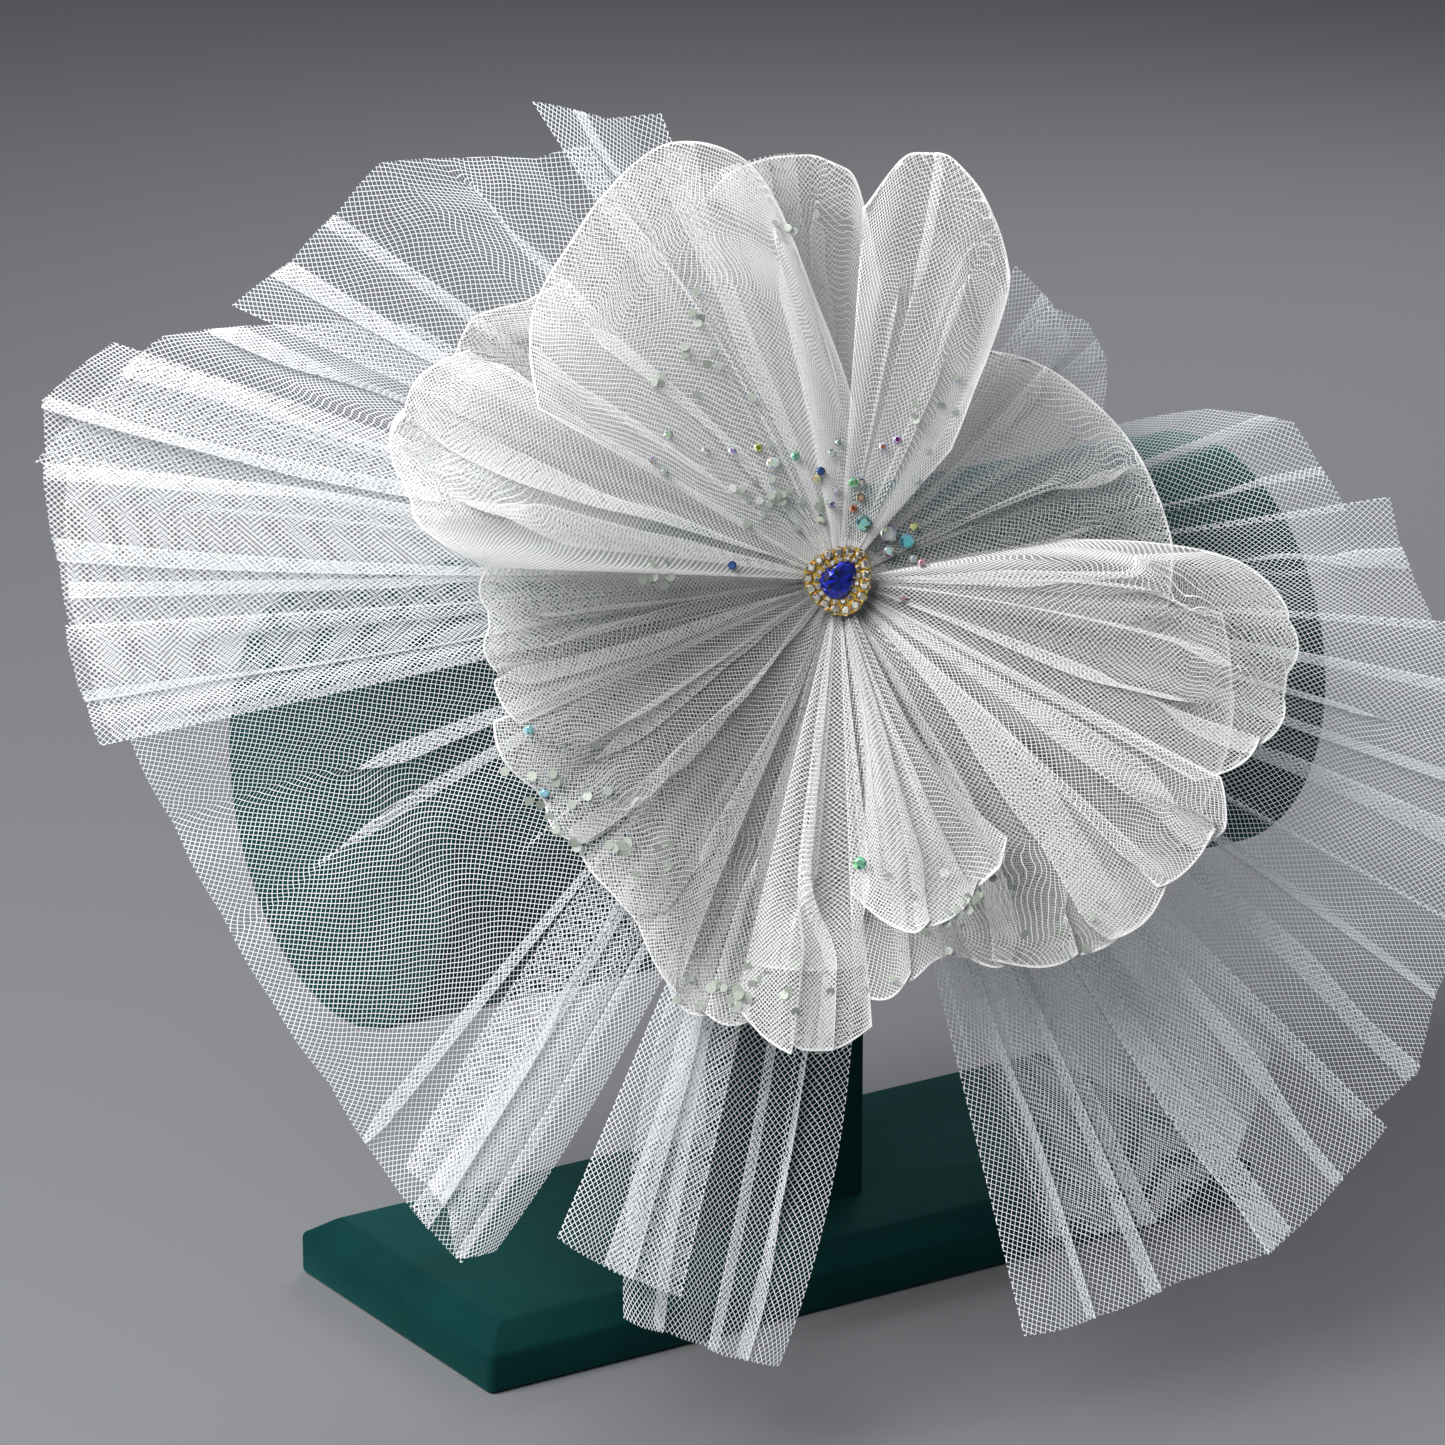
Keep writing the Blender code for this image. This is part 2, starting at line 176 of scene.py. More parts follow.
LEAST_CORNER = 0.6  # the smallest corner radius, where the velvet turns over an edge
BASE_LENGTH, BASE_DEPTH, BASE_CORNER = 267.0, 108.0, 2.2
BASE_SECTION = (
    # inset from the board's side, height
    (0.9, 0.0), (0.2, 0.35), (0.0, 1.0), (0.0, 10.4), (0.15, 11.2),
    (0.7, 12.0), (7.7, 16.9), (8.4, 17.3), (9.4, 17.5),
)
points, faces = board_stack(BASE_SECTION, BASE_LENGTH, BASE_DEPTH, BASE_CORNER)
piece("stand_base_velvet", points, faces, velvet, ["stand_base"], smooth=40)

POST_WIDTH, POST_DEPTH, POST_CORNER = 30.0, 42.0, 2.5
POST_SECTION = ((0.0, 17.8), (0.0, 112.0))  # inset, height: its top is hidden in the roll's underside
points, faces = board_stack(POST_SECTION, POST_WIDTH, POST_DEPTH, POST_CORNER)
piece("stand_post_velvet", points, faces, velvet, ["stand_post"], smooth=40)

ROLL_RADIUS, ROLL_LENGTH, ROLL_AXIS_HEIGHT = 62.5, 298.0, 160.5
ROLL_SECTION = (
    # inset from the roll's side, distance from its middle as a share of half its length
    (2.6, 0.9995), (1.1, 1.0), (0.35, 0.996), (0.0, 0.990), (0.0, 0.55), (0.0, 0.0),
)


def roll_surface():
    """The roll: a circle carried along X, rounded over at both ends, each closed by a flat disc."""
    turn = np.linspace(0, 2 * math.pi, 120, endpoint=False)
    section = [(inset, -share) for inset, share in ROLL_SECTION] + list(ROLL_SECTION[-2::-1])
    rings = []
    for inset, share in section:
        radius = ROLL_RADIUS - inset
        x = np.full(len(turn), share * ROLL_LENGTH / 2)
        rings.append(np.column_stack([x, radius * np.cos(turn), ROLL_AXIS_HEIGHT + radius * np.sin(turn)]))
    points, faces = ring_stack(rings)
    return points, [face[::-1] for face in faces]  # the rings run the other way round, seen along X


points, faces = roll_surface()
roll = piece("stand_roll_velvet", points, faces, velvet, ["stand_roll"], smooth=40)


# THE PAD. A round disc of white felt, hollowed below to the roll's curve and pinned to the roll.
# The flower is sewn on it, so the flower's seat and the way that it faces are set here.

SEAT_X, SEAT_ANGLE = -5.0, 56.0
FACING_AZIMUTH, FACING_ELEVATION = -33.7, 16.9


def axes_of(azimuth, elevation):
    """Right, up and facing directions of something that faces a given way."""
    azimuth, elevation = math.radians(azimuth), math.radians(elevation)
    level = np.array([math.sin(azimuth), -math.cos(azimuth), 0.0])
    facing = level * math.cos(elevation) + np.array([0.0, 0.0, math.sin(elevation)])
    right = np.array([math.cos(azimuth), math.sin(azimuth), 0.0])
    return right, np.cross(facing, right), facing


RIGHT, UP, FACING = axes_of(FACING_AZIMUTH, FACING_ELEVATION)
SEAT_NORMAL = np.array([0.0, -math.cos(math.radians(SEAT_ANGLE)), math.sin(math.radians(SEAT_ANGLE))])
SEAT = np.array([SEAT_X, 0.0, ROLL_AXIS_HEIGHT]) + ROLL_RADIUS * SEAT_NORMAL


def flower_point(radius, bearing, height):
    """Points at polar places about the flower's axis, and at heights above its seat."""
    right, up = radius * np.cos(bearing), radius * np.sin(bearing)
    return SEAT + right[..., None] * RIGHT + up[..., None] * UP + height[..., None] * FACING


felt, _ = plain_material("felt", (0.72, 0.72, 0.70), 0.95)
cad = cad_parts["backing_pad"]
cad.data.materials.clear()
cad.data.materials.append(felt)


# THE NET. Stiff coarse diamond net, white, one layer a leaf. Each leaf is pulled into small gathers
# at the knot, fans out in uneven knife folds, and ends in a raw cut edge.

ROOT = 8.4              # where the leaves leave the knot, from its middle
CLIMB = 120.0           # how far out a leaf goes on climbing before it levels off
BOW_REACH = 125.0       # how far out a layer's bow ends
LAYERS = {
    # layer: (height, spread, bow, fold depth)
    "net_back": (16.0, 0.0, 0.0, 3.4),
    "net_front": (19.2, 0.085, 0.0, 3.6),
    "puff_back": (24.2, 0.23, 4.0, 3.2),
    "puff_front": (30.4, 0.41, 12.0, 4.4),
    "puff_loop": (36.4, 0.62, 19.0, 4.4),
}
NET_LEAVES = (
    # name, layer, first bearing, last bearing, narrowing, main folds, reaches
    ("net_right_top", "net_back", 9, 30, 0, 4, (148, 143, 139, 117, 83)),
    ("net_right_tip", "net_front", -3.5, 8, 0, 3, (172, 165, 161, 160)),
    ("net_right", "net_front", -28, -4.5, 0, 5, (199, 201, 202, 198)),
    ("net_right_low", "net_back", -45, -29.5, 0, 4, (213, 216, 207, 205)),
    ("net_bottom_right", "net_front", -75, -45.5, 0, 6, (213, 215, 216, 222, 219, 217)),
    ("net_bottom_right_back", "net_back", -71, -48, 0, 4, (192, 200, 197, 181)),
    ("net_bottom", "net_back", -114, -86, 0.6, 4, (208, 210, 213, 215)),
    ("net_bottom_left", "net_front", -130, -113, 0.5, 4, (194, 194, 197, 207, 201)),
    ("net_bottom_left_back", "net_front", -112, -103, 0, 3, (191, 195, 197)),
    ("net_low_left", "net_back", 193, 240.5, 0, 6, (194, 189, 187, 188, 191, 200, 210)),
    ("net_left_strip", "net_front", 184.5, 192, 0, 3, (204, 202, 199)),
    ("net_left", "net_front", 163, 183, 0, 5, (203, 216, 211, 206, 203)),
    ("net_left_back", "net_back", 172, 191.8, 0, 3, (208, 205, 197)),
    ("net_upper_left", "net_back", 150, 171, 0, 4, (135, 161, 194, 204, 217)),
    ("net_top_left", "net_front", 121, 155, 0, 6, (138, 142, 154, 168, 168, 170, 178)),
    ("net_top_spike", "net_back", 112, 122, 0, 3, (139, 143, 157)),
    ("net_top", "net_front", 97, 112, 0, 3, (120, 119, 118)),
    ("net_top_right", "net_front", 34, 52, 0, 4, (90, 99, 102, 98)),
    ("net_top_right_back", "net_back", 46, 60, 0, 3, (95, 100, 103)),
)
NET_FOLDS = {
    # leaf: each fold's bearing at knot and edge, bow, lap at knot and edge, lift in mm, and the share of
    # the leaf's length where it starts, and where it ends if it doesn't run off the edge
    "net_low_left": (
        (200, 201, 1, 2.1, 2, 3, 0.3, 0.8), (206, 210, -1, 1.5, 1, -3, 0.25, 0.9),
        (229, 230, 0, 1.1, 1.4, 3, 0.2, 1.1), (236, 237, 0.5, 1, 2, 3, 0.1),
    ),
    "net_left_strip": ((188.5, 189, 0.3, 1, 0.8, 2, 0.1),),
    "net_left": (
        (166.5, 167.6, 1.5, 1.1, 1, 3, 0.15), (171.5, 172.5, -0.8, 2, 1.2, -3, 0.15),
        (178, 178, 0.8, 1.1, 1.7, 3, 0.2),
    ),
    "net_left_back": ((179, 181, 0.5, 1.4, 1.2, 3, 0.15),),
    "net_upper_left": (
        (156, 158, 1.2, 2.1, 1.6, 3, 0.15), (164, 163.5, -0.6, 1.4, 1.8, -3, 0.25),
    ),
    "net_top_left": (
        (130.5, 133.2, 0.5, 2.4, 0.4, 3, 0.15, 1.02), (142.5, 145, 0.4, 2.2, 1.4, -3, 0.2),
        (149.5, 151, 0.8, 1.4, 2.1, 3, 0.2),
    ),
    "net_top_spike": ((118.2, 119.2, 0.2, 1.3, 1, 3, 0.15),),
    "net_top": ((103, 105, 0.3, 1.4, 3, 3, 0.15),),
    "net_bottom_left": (
        (236, 237, 0.4, 1.7, 1.3, 3, 0.1), (242, 243.5, 0.3, 1.3, 1.4, -3, 0.1),
    ),
    "net_bottom_left_back": ((252, 252.6, 0, 1.4, 2.6, 3, 0.1),),
    "net_bottom": (
        (253, 252, 0.4, 1.4, 2.1, 3, 0.1), (261.5, 262.5, 0.4, 1.8, 1.8, -3, 0.1),
        (268.5, 268, 0.2, 1.1, 2.4, 3, 0.15),
    ),
    "net_bottom_right": (
        (290, 289.2, 0.4, 1, 0.7, 3, 0.1), (295.5, 294.2, 0.2, 1.1, 1.2, 3, 0.1),
        (301.5, 304, 0.5, 1.1, 2.4, -3, 0.1), (309, 310, 0.3, 1.4, 1, 3, 0.1),
    ),
    "net_bottom_right_back": (
        (297, 296, 0, 1.4, 1.4, 3, 0.15), (305, 306, 0, 1.4, 2.4, -3, 0.15),
    ),
    "net_right_low": (
        (320, 319.6, 0.5, 1.1, 1.7, 3, 0.15), (326.5, 325.5, 0.4, 1.7, 0.7, -3, 0.15),
    ),
    "net_right": (
        (338.5, 337.5, 0.5, 1.1, 2.2, 3, 0.15), (345.5, 342.5, -0.8, 1.5, 1, -3, 0.15),
        (351, 350, 0.6, 1.3, 1.2, 3, 0.15),
    ),
    "net_right_tip": ((1.5, 2.5, 0.6, 1.1, 2.2, 3, 0.15),),
    "net_right_top": (
        (14, 13, 0.6, 1.4, 1, 3, 0.15), (22.5, 21, -0.5, 1.4, 1.3, 3, 0.25),
    ),
    "net_top_right": ((41.5, 42, 0.4, 1.4, 2.6, 3, 0.2),),
    "net_top_right_back": ((53, 54, 0.3, 1.4, 1.8, 3, 0.2),),
}
NET_WAVE = 0.22         # how much of the solid's own zigzag of folds each leaf keeps
NET_GATHERS = 2.6       # gathers for each 10 degrees of a leaf
NET_BULGE = 1.6         # mm that a panel between two folds arches forward
NET_ROOT = 0.24         # how wide a leaf is cut at the knot, as a share of its outer width
NET_TILT = 1.2          # mm that a leaf's last side lies in front of its first, to pass its neighbours
NET_DROOP = 2.0         # mm that a leaf's edge sways up and down
NET_ROWS, NET_COLUMNS = 60, 3.2     # rows from knot to edge, and columns for each degree
NET_CLOSE = 0.9         # below 1, the rows lie closer at the edge
NET_RADII = (25.0, 110.0)           # the lifts of the folds grow from the one, and are full at the other
NET_PAINTED_SHADE = (70.0, 60.0)         # painted shade: how far from the seat the net stops being painted darker, and over how far it fades
FREE_SIDE = 1.5         # degrees over which gathers die out towards a leaf's side
THREAD_ROUNDNESS = 0.7  # how far the shading turns to the front, as round threads catch light all round
NET_SIDE = (3.0, 0.35)  # how dense the thread is at a leaf's sides, in layers' worth, and over how many mm
NET_OVERLAP = 0.9       # degrees that a leaf runs behind its neighbours on each side
FOLD_EDGE = 0.13        # degrees from a fold's turning line to where the cloth lies flat again
FADE_IN, FADE_OUT = 0.14, 0.16  # shares of a leaf's length over which a fold opens and closes
PAST_EDGE = 1.2         # where a fold ends that runs off the edge
LEAF_GATHERS = {"shortest": 0.25, "longest": 0.95, "lift": 1.8, "lap": 1.6, "width": 1.3, "bend": 1.0}


def lean(bearing):
    """How steeply a leaf climbs towards the front: most on the left, where it passes round the roll."""
    return 0.12 - 0.86 * np.cos(bearing) - 0.34 * np.sin(bearing)


def layer_height(layer, radius, bearing):
    """The height of a layer above the seat: it climbs out of the knot and then levels off."""
    height, spread, bow, _ = LAYERS[layer]
    out = radius - ROOT
    climb = CLIMB * (1 - np.exp(-out / CLIMB))
    arch = bow * np.sin(math.pi * np.clip(out / BOW_REACH, 0, 1))
    return height + lean(bearing) * climb + spread * out + arch


def zigzag(share, reaches, folds):
    """The solid's crests and troughs at shares of the way across a leaf, of uneven depth, dying out at
    its two sides. The solid has a column for each reach, or two for each fold.
    """
    columns = max(2 * folds + 1, len(reaches))
    place = np.linspace(0, 1, columns)
    wave = np.sin(2 * math.pi * folds * (place - 0.25 / folds * (place > 0)))
    uneven = 0.75 + 0.25 * np.sin(5.0 * math.pi * place + folds)
    depth = wave * uneven * np.clip(np.minimum(place, 1 - place) * (columns - 1), 0, 1)
    return np.interp(share, place, depth)


def from_side(places):
    """How far each place across a leaf is from the leaf's nearer side, in degrees."""
    return np.minimum(places - places[0], places[-1] - places)[None, :]


def fade(along, start, end):
    """Nothing before start, all of it between, and nothing after end, with soft ends."""
    rise = np.clip((along - start) / FADE_IN, 0, 1)
    fall = np.clip((end - along) / FADE_OUT, 0, 1)
    return rise * rise * (3 - 2 * rise) * fall * fall * (3 - 2 * fall)


def fold_marks(folds):
    """Where each fold's two turning lines lie on the cloth, in degrees, from its middle and widest lap."""
    rows = []
    for inner, outer, bow, lap_in, lap_out, *_ in folds:
        rows.append((inner + (outer - inner) * 0.6 + bow, max(lap_in, lap_out) / 2))
    return rows


def cloth_columns(first, last, folds, for_each_degree):
    """Places across a leaf in degrees: even ones, and three close ones on each turning line and side."""
    lines = [first, last]
    for middle, half in fold_marks(folds):
        lines += [middle - half, middle + half]
    close = (np.array(lines)[:, None] + np.array([-FOLD_EDGE, 0, FOLD_EDGE])).ravel()
    even = np.linspace(first, last, int(for_each_degree * (last - first)))
    even = even[np.abs(even[:, None] - close).min(axis=1) > FOLD_EDGE * 0.7]
    return np.unique(np.clip(np.concatenate([even, close]), first, last))


def folded(places, along, folds):
    """Bearings and lifts of a leaf's cloth, which is turned back over itself along each of its folds.

    Between two turning lines the cloth runs straight, and each flat panel arches forward a little:
    the third result is that arch, from 0 at the panel's sides to 1 in its middle.
    """
    first, last = places[0], places[-1]
    a = along[:, 0]
    marks, stops, lifts = [first], [np.full(len(a), first)], [np.zeros(len(a))]
    for fold, (middle, half) in zip(folds, fold_marks(folds)):
        inner, outer, bow, lap_in, lap_out, lift, start, end = (*fold, PAST_EDGE)[:8]
        size = fade(a, start - FADE_IN, end)
        centre = inner + (outer - inner) * a + 4 * bow * a * (1 - a)
        swing = -half + (half + (lap_in + (lap_out - lap_in) * a) / 2) * size
        marks += [middle - half, middle + half]
        stops += [centre + swing, centre - swing]
        lifts += [lift * size / 2, -lift * size / 2]
    marks, stops, lifts = marks + [last], stops + [np.full(len(a), last)], lifts + [np.zeros(len(a))]
    bearing = np.stack([np.interp(places, marks, row) for row in np.stack(stops, axis=1)])
    rise = np.stack([np.interp(places, marks, row) for row in np.stack(lifts, axis=1)])
    arch = np.zeros(len(places))
    for low, high in zip(marks[0::2], marks[1::2]):
        inside = (places >= low) & (places <= high)
        across = (places[inside] - low) / max(high - low, 1e-6)
        arch[inside] = np.sin(math.pi * across) * min(1.0, (high - low) / 6)
    return bearing, rise, arch[None, :]


def gathers(places, along, count, seed, shortest, longest, lift, lap, width, bend):
    """Gathers at seeded places, as shifts in degrees and lifts in mm. All start at the knot, and each
    bends its own way and fades at its own length, from the shortest to the longest share of the leaf.
    """
    draw = np.random.default_rng(seed)
    shift, rise = np.zeros((len(along), len(places))), np.zeros((len(along), len(places)))
    low, span = places[0], places[-1] - places[0]
    for share in (np.arange(count) + draw.uniform(0.1, 0.9, count)) / count:
        end = draw.uniform(shortest, longest)
        size = draw.uniform(0.4, 1.0) * fade(along, -0.2, end)
        sweep = draw.normal() * along * along + draw.normal() * 2.4 * along * (1 - along)
        centre = low + share * span + bend * sweep
        x = (places[None, :] - centre) / (width * draw.uniform(0.7, 1.3))
        swing = x * np.exp(0.5 - x * x / 2)
        shift += -lap * draw.choice([-1, 1]) * swing * size
        rise += lift * swing * size
    return shift, rise


MOST_GATHERED = 4.5     # layers' worth of thread that a tight gather counts for, so its mesh still shows
LEAST_COVER = 0.8       # the least share of its cut that a modelled leaf covers


def cloth_shape(points, flat):
    """Facts of a cloth grid at each point: how much flat cloth each bit of its front view holds, which
    is high in gathers and on folds, and its normals, turned to the front, as round threads catch light
    from all sides. The last fact is the area of the cut, in square mm.
    """
    across, along = np.gradient(points, axis=1), np.gradient(points, axis=0)
    slant = np.cross(across, along)
    shown = slant @ FACING
    cloth = np.abs(turned_area(np.gradient(flat, axis=1), np.gradient(flat, axis=0)))
    density = np.clip(cloth / np.maximum(np.abs(shown), 1e-6), 0.8, MOST_GATHERED)
    slant /= np.maximum(np.linalg.norm(slant, axis=2, keepdims=True), 1e-9)
    side = np.where(shown < 0, -1.0, 1.0)[..., None]
    soft = slant * (1 - THREAD_ROUNDNESS) + side * FACING * THREAD_ROUNDNESS
    return density, soft / np.linalg.norm(soft, axis=2, keepdims=True), grid_area(flat)


def turned_area(one, other):
    """The area of the parallelogram of two directions in the plane, with its sign."""
    return one[..., 0] * other[..., 1] - one[..., 1] * other[..., 0]


def grid_area(points):
    """The area of a grid of points in space or in the plane, in square mm."""
    across, along = np.diff(points, axis=1)[:-1], np.diff(points, axis=0)[:, :-1]
    if points.shape[2] == 2:
        return np.abs(turned_area(across, along)).sum()
    return np.linalg.norm(np.cross(across, along), axis=2).sum()


def fan_cut(points, along, front_rows, root):
    """Flat coordinates of a flared panel, in mm: a true fan, at its narrow end a root share of its outer
    width. Each column is as long as its rows in front. Across, the cloth is measured along its own
    folds, so that its cells keep their size. The fan is narrowed until the modelled cloth covers
    most of it.
    """
    length = np.linalg.norm(np.diff(points[:front_rows], axis=0), axis=2).sum(axis=0)[None, :]
    step = np.linalg.norm(np.diff(points, axis=1), axis=2)
    travelled = np.concatenate([np.zeros((len(points), 1)), np.cumsum(step, axis=1)], axis=1)
    longest = float(np.max(length))
    width = np.quantile(travelled[:, -1], 0.9)
    while True:
        near = longest * root / (1 - root)
        spread = (travelled / travelled[:, -1:] - 0.5) * width / (near + longest)
        out = near + along * length
        flat = np.stack([out * np.sin(spread), out * np.cos(spread) - near], axis=-1)
        if grid_area(points) > LEAST_COVER * grid_area(flat):
            return flat
        root, width = root * 0.85, width * 0.97


def net_leaf(row, number):
    """A leaf: out from the knot to its cut edge, on the solid's form, with its folds and gathers."""
    name, layer, first, last, narrowing, main_folds, reaches = row
    folds = NET_FOLDS[name]
    turned = 360.0 * (folds[0][0] - first > 180)
    low, high = first - NET_OVERLAP + turned, last + NET_OVERLAP + turned
    places = cloth_columns(low, high, folds, NET_COLUMNS)
    along = np.linspace(0, 1, NET_ROWS)[:, None] ** NET_CLOSE
    bearing, rise, arch = folded(places, along, folds)
    degrees = high - low
    count = max(4, int(NET_GATHERS * degrees / 10))
    swing, up = gathers(places, along, count, 40 + number, **LEAF_GATHERS)
    sides = np.clip(from_side(places) / FREE_SIDE, 0, 1)
    bearing, rise = bearing + swing * sides, rise + up * sides
    share = (bearing - low) / degrees
    reach = np.interp(share, np.linspace(0, 1, len(reaches)), reaches)
    wave = zigzag(share, reaches, main_folds)
    radius = ROOT + (reach - ROOT) * along
    middle = (low + high) / 2
    turn = np.radians(middle + (bearing - middle) * (1 - narrowing * along ** 2))
    droop = NET_DROOP * np.sin(7 * share + 3 * number + 2 * along) * along ** 2
    height = layer_height(layer, radius, turn) + NET_WAVE * wave * LAYERS[layer][3] * radius / 100
    lift = (rise + NET_BULGE * arch * along) * np.maximum(radius, NET_RADII[0]) / NET_RADII[1]
    height = height + lift + droop + NET_TILT * (share - 0.5)
    points = flower_point(radius, turn, height)
    rim = NET_SIDE[0] * np.exp(-(np.radians(from_side(places)) * radius / NET_SIDE[1]) ** 2)
    return points, fan_cut(points, along, NET_ROWS, NET_ROOT), rim


def thread_cover():
    """A node group: the share of cloth at a place in a diamond net, 1 on a thread and 0 in a gap.

    Two families of slanting threads cross. Each thread widens with the density, as where the
    cloth is gathered or edge on.
    """
    group = bpy.data.node_groups.new("thread_cover", "ShaderNodeTree")
    group.interface.new_socket(name="Place", in_out="INPUT", socket_type="NodeSocketVector")
    for label in ("Cell Width", "Cell Length", "Thread", "Density"):
        group.interface.new_socket(name=label, in_out="INPUT", socket_type="NodeSocketFloat")
    group.interface.new_socket(name="Cover", in_out="OUTPUT", socket_type="NodeSocketFloat")
    enter, leave = node(group, "NodeGroupInput"), node(group, "NodeGroupOutput")

    def math_node(operation, first, second=None):
        made = node(group, "ShaderNodeMath", operation=operation)
        for slot, value in enumerate((first, second)):
            if isinstance(value, (int, float)):
                made.inputs[slot].default_value = value
            elif value is not None:
                group.links.new(value, made.inputs[slot])
        return made.outputs[0]

    split = node(group, "ShaderNodeSeparateXYZ")
    group.links.new(enter.outputs["Place"], split.inputs[0])
    across = math_node("DIVIDE", split.outputs["X"], enter.outputs["Cell Width"])
    along = math_node("DIVIDE", split.outputs["Y"], enter.outputs["Cell Length"])
    one = math_node("PINGPONG", math_node("ADD", across, along), 0.5)
    other = math_node("PINGPONG", math_node("SUBTRACT", across, along), 0.5)
    nearest = math_node("MINIMUM", one, other)
    gap = math_node("SUBTRACT", 1.0, math_node("MULTIPLY", enter.outputs["Thread"], 2.0))
    bare = math_node("POWER", gap, enter.outputs["Density"])
    half = math_node("MULTIPLY", math_node("SUBTRACT", 1.0, bare), 0.5)
    group.links.new(math_node("LESS_THAN", nearest, half), leave.inputs["Cover"])
    return group


THREADS = thread_cover()
PAINTED_DEEP_SHADE = 0.30   # painted shade: how light the cloth is painted under all the other layers, as a share of its own colour


def net_material(name, colour, cell, thread, roughness):
    """White nylon threads with open gaps, from the cloth's own flat coordinates in mm.

    Threads deep under other layers are painted darker, and near the puffs' outer folds painted lighter:
    painted shade and light, held in values at each point.
    """
    made, shader = plain_material(name, colour, roughness, {"Specular IOR Level": 0.5, "Sheen Weight": 0.25})
    tree = made.node_tree
    flat = node(tree, "ShaderNodeUVMap", uv_map="cloth")
    density = node(tree, "ShaderNodeAttribute", attribute_name="gather")
    painted_shading = node(tree, "ShaderNodeAttribute", attribute_name="painted_shading")
    # painted shade: a darkened copy of the colour, for cloth under other layers, mixed with the full colour
    # by the shading values
    shaded = [PAINTED_DEEP_SHADE * each for each in colour]
    tree.links.new(mixed_colours(tree, painted_shading.outputs["Fac"], shaded, colour), shader.inputs["Base Color"])
    cover = node(tree, "ShaderNodeGroup", node_tree=THREADS)
    cover.inputs["Cell Width"].default_value, cover.inputs["Cell Length"].default_value = cell
    cover.inputs["Thread"].default_value = thread
    tree.links.new(flat.outputs["UV"], cover.inputs["Place"])
    tree.links.new(density.outputs["Fac"], cover.inputs["Density"])
    tree.links.new(cover.outputs["Cover"], shader.inputs["Alpha"])
    return made


def cloth_piece(name, points, flat, material, rim, painted_shading, most=MOST_GATHERED):
    """A piece of cloth with its flat coordinates, density and painted shading."""
    density, normals, cut = cloth_shape(points, flat)
    density = np.maximum(np.minimum(density, most), rim)
    faces = grid_faces(*points.shape[:2])
    values = {"gather": density, "painted_shading": np.broadcast_to(painted_shading, density.shape)}
    made = piece(
        name + "_cloth", points, faces, material, [name],
        smooth=180, uv=flat, values=values, normals=normals,
    )


coarse_net = net_material("coarse_net", (0.89, 0.91, 0.93), (1.5, 2.05), 0.066, 0.45)
for number, row in enumerate(NET_LEAVES):
    points, flat, rim = net_leaf(row, number)
    out = np.linalg.norm(points - SEAT, axis=2)
    # painted shade: the net is painted darker near the seat, under the puffs, and reaches its full colour
    # further out
    painted_shading = np.clip((out - NET_PAINTED_SHADE[0]) / NET_PAINTED_SHADE[1], 0, 1)
    cloth_piece(row[0], points, flat, coarse_net, rim, painted_shading)


# THE KNOT. The gathered roots of all the layers, wound and sewn tight into one pleated stem. Most of
# it is hidden under the brooch and the tulle.

KNOT_RADIUS, KNOT_FOOT, KNOT_TOP = 8.0, 6.0, 41.5
KNOT_WAIST, KNOT_FLARE = 1.5, 1.1
KNOT_PLEATS, PLEAT_DEPTH = 30, 0.55
KNOT_STRANDS, STRAND_DEPTH = 69, 0.3


def knot_surface():
    """A stem with deep pleats all round, waisted below the brooch and spread a little at both ends."""
    turn = np.linspace(0, 2 * math.pi, 240, endpoint=False)[None, :]
    rise = np.linspace(0, 1, 26)[:, None]
    radius = KNOT_RADIUS - KNOT_WAIST + KNOT_FLARE * (2 * rise - 1) ** 2
    pleats = PLEAT_DEPTH * np.sin(KNOT_PLEATS * turn + 2.0 * rise)
    strands = STRAND_DEPTH * np.sin(KNOT_STRANDS * turn + 1.0)
    height = KNOT_FOOT + (KNOT_TOP - KNOT_FOOT) * rise + 0 * turn
    return flower_point(radius + (pleats + strands), turn + 0.10 * rise, height)


bound_tulle, _ = plain_material("bound_tulle", (0.80, 0.78, 0.73), 0.6, {"Sheen Weight": 0.4})
points, faces = ring_stack(knot_surface())
piece("gathered_knot_pleated", points, faces, bound_tulle, ["gathered_knot"], smooth=70)


# THE TULLE PUFFS. Fine soft tulle, ivory white, folded double with the fold outwards. Each puff is
# pulled into close pleats at the knot and opens into a soft rounded lobe with a crisp folded edge.

PUFFS = (
    # name, layer, first bearing, last bearing, pleats, reaches
    ("puff_top_left", "puff_front", 86, 149, 7,
     (46, 60, 78, 114, 123, 127, 124, 120, 115, 112, 108, 100, 91)),
    ("puff_top", "puff_back", 84, 109, 4, (84, 113, 118, 118, 116, 110)),
    ("puff_top_right", "puff_front", 51, 85, 5, (47, 64, 95, 106, 115, 121, 119, 101)),
    ("puff_right_back", "puff_back", -3, 57, 6, (93, 95, 93, 91, 87, 83, 76)),
    ("puff_right", "puff_front", -27.5, 9, 6, (114, 124, 130, 129, 127, 110, 64)),
    ("puff_low_right", "puff_front", -42, -28.5, 3, (123, 124, 126, 120)),
    ("puff_low_right_back", "puff_back", -58, -6, 6, (118, 122, 118, 110)),
    ("puff_bottom_right", "puff_front", -86, -43, 8, (112, 112, 105, 110, 115, 121, 124, 125, 123)),
    ("puff_bottom", "puff_front", -102, -87, 3, (117, 122, 126, 124, 121)),
    ("puff_bottom_back", "puff_back", -101, -60, 5, (108, 104, 100, 106)),
    ("puff_low_left", "puff_back", -156, -103, 7, (101, 100, 100, 100, 103, 111, 123, 123)),
    ("puff_left_low", "puff_back", 178, 203, 4, (94, 96, 96, 95, 95)),
    ("puff_left", "puff_front", 150, 176.5, 5, (117, 122, 124, 121, 112, 94)),
    ("puff_upper_left", "puff_back", 134, 155, 4, (110, 113, 121, 119, 113)),
    ("puff_front_loop", "puff_loop", -86, -58, 4, (84, 96, 92, 84)),
)
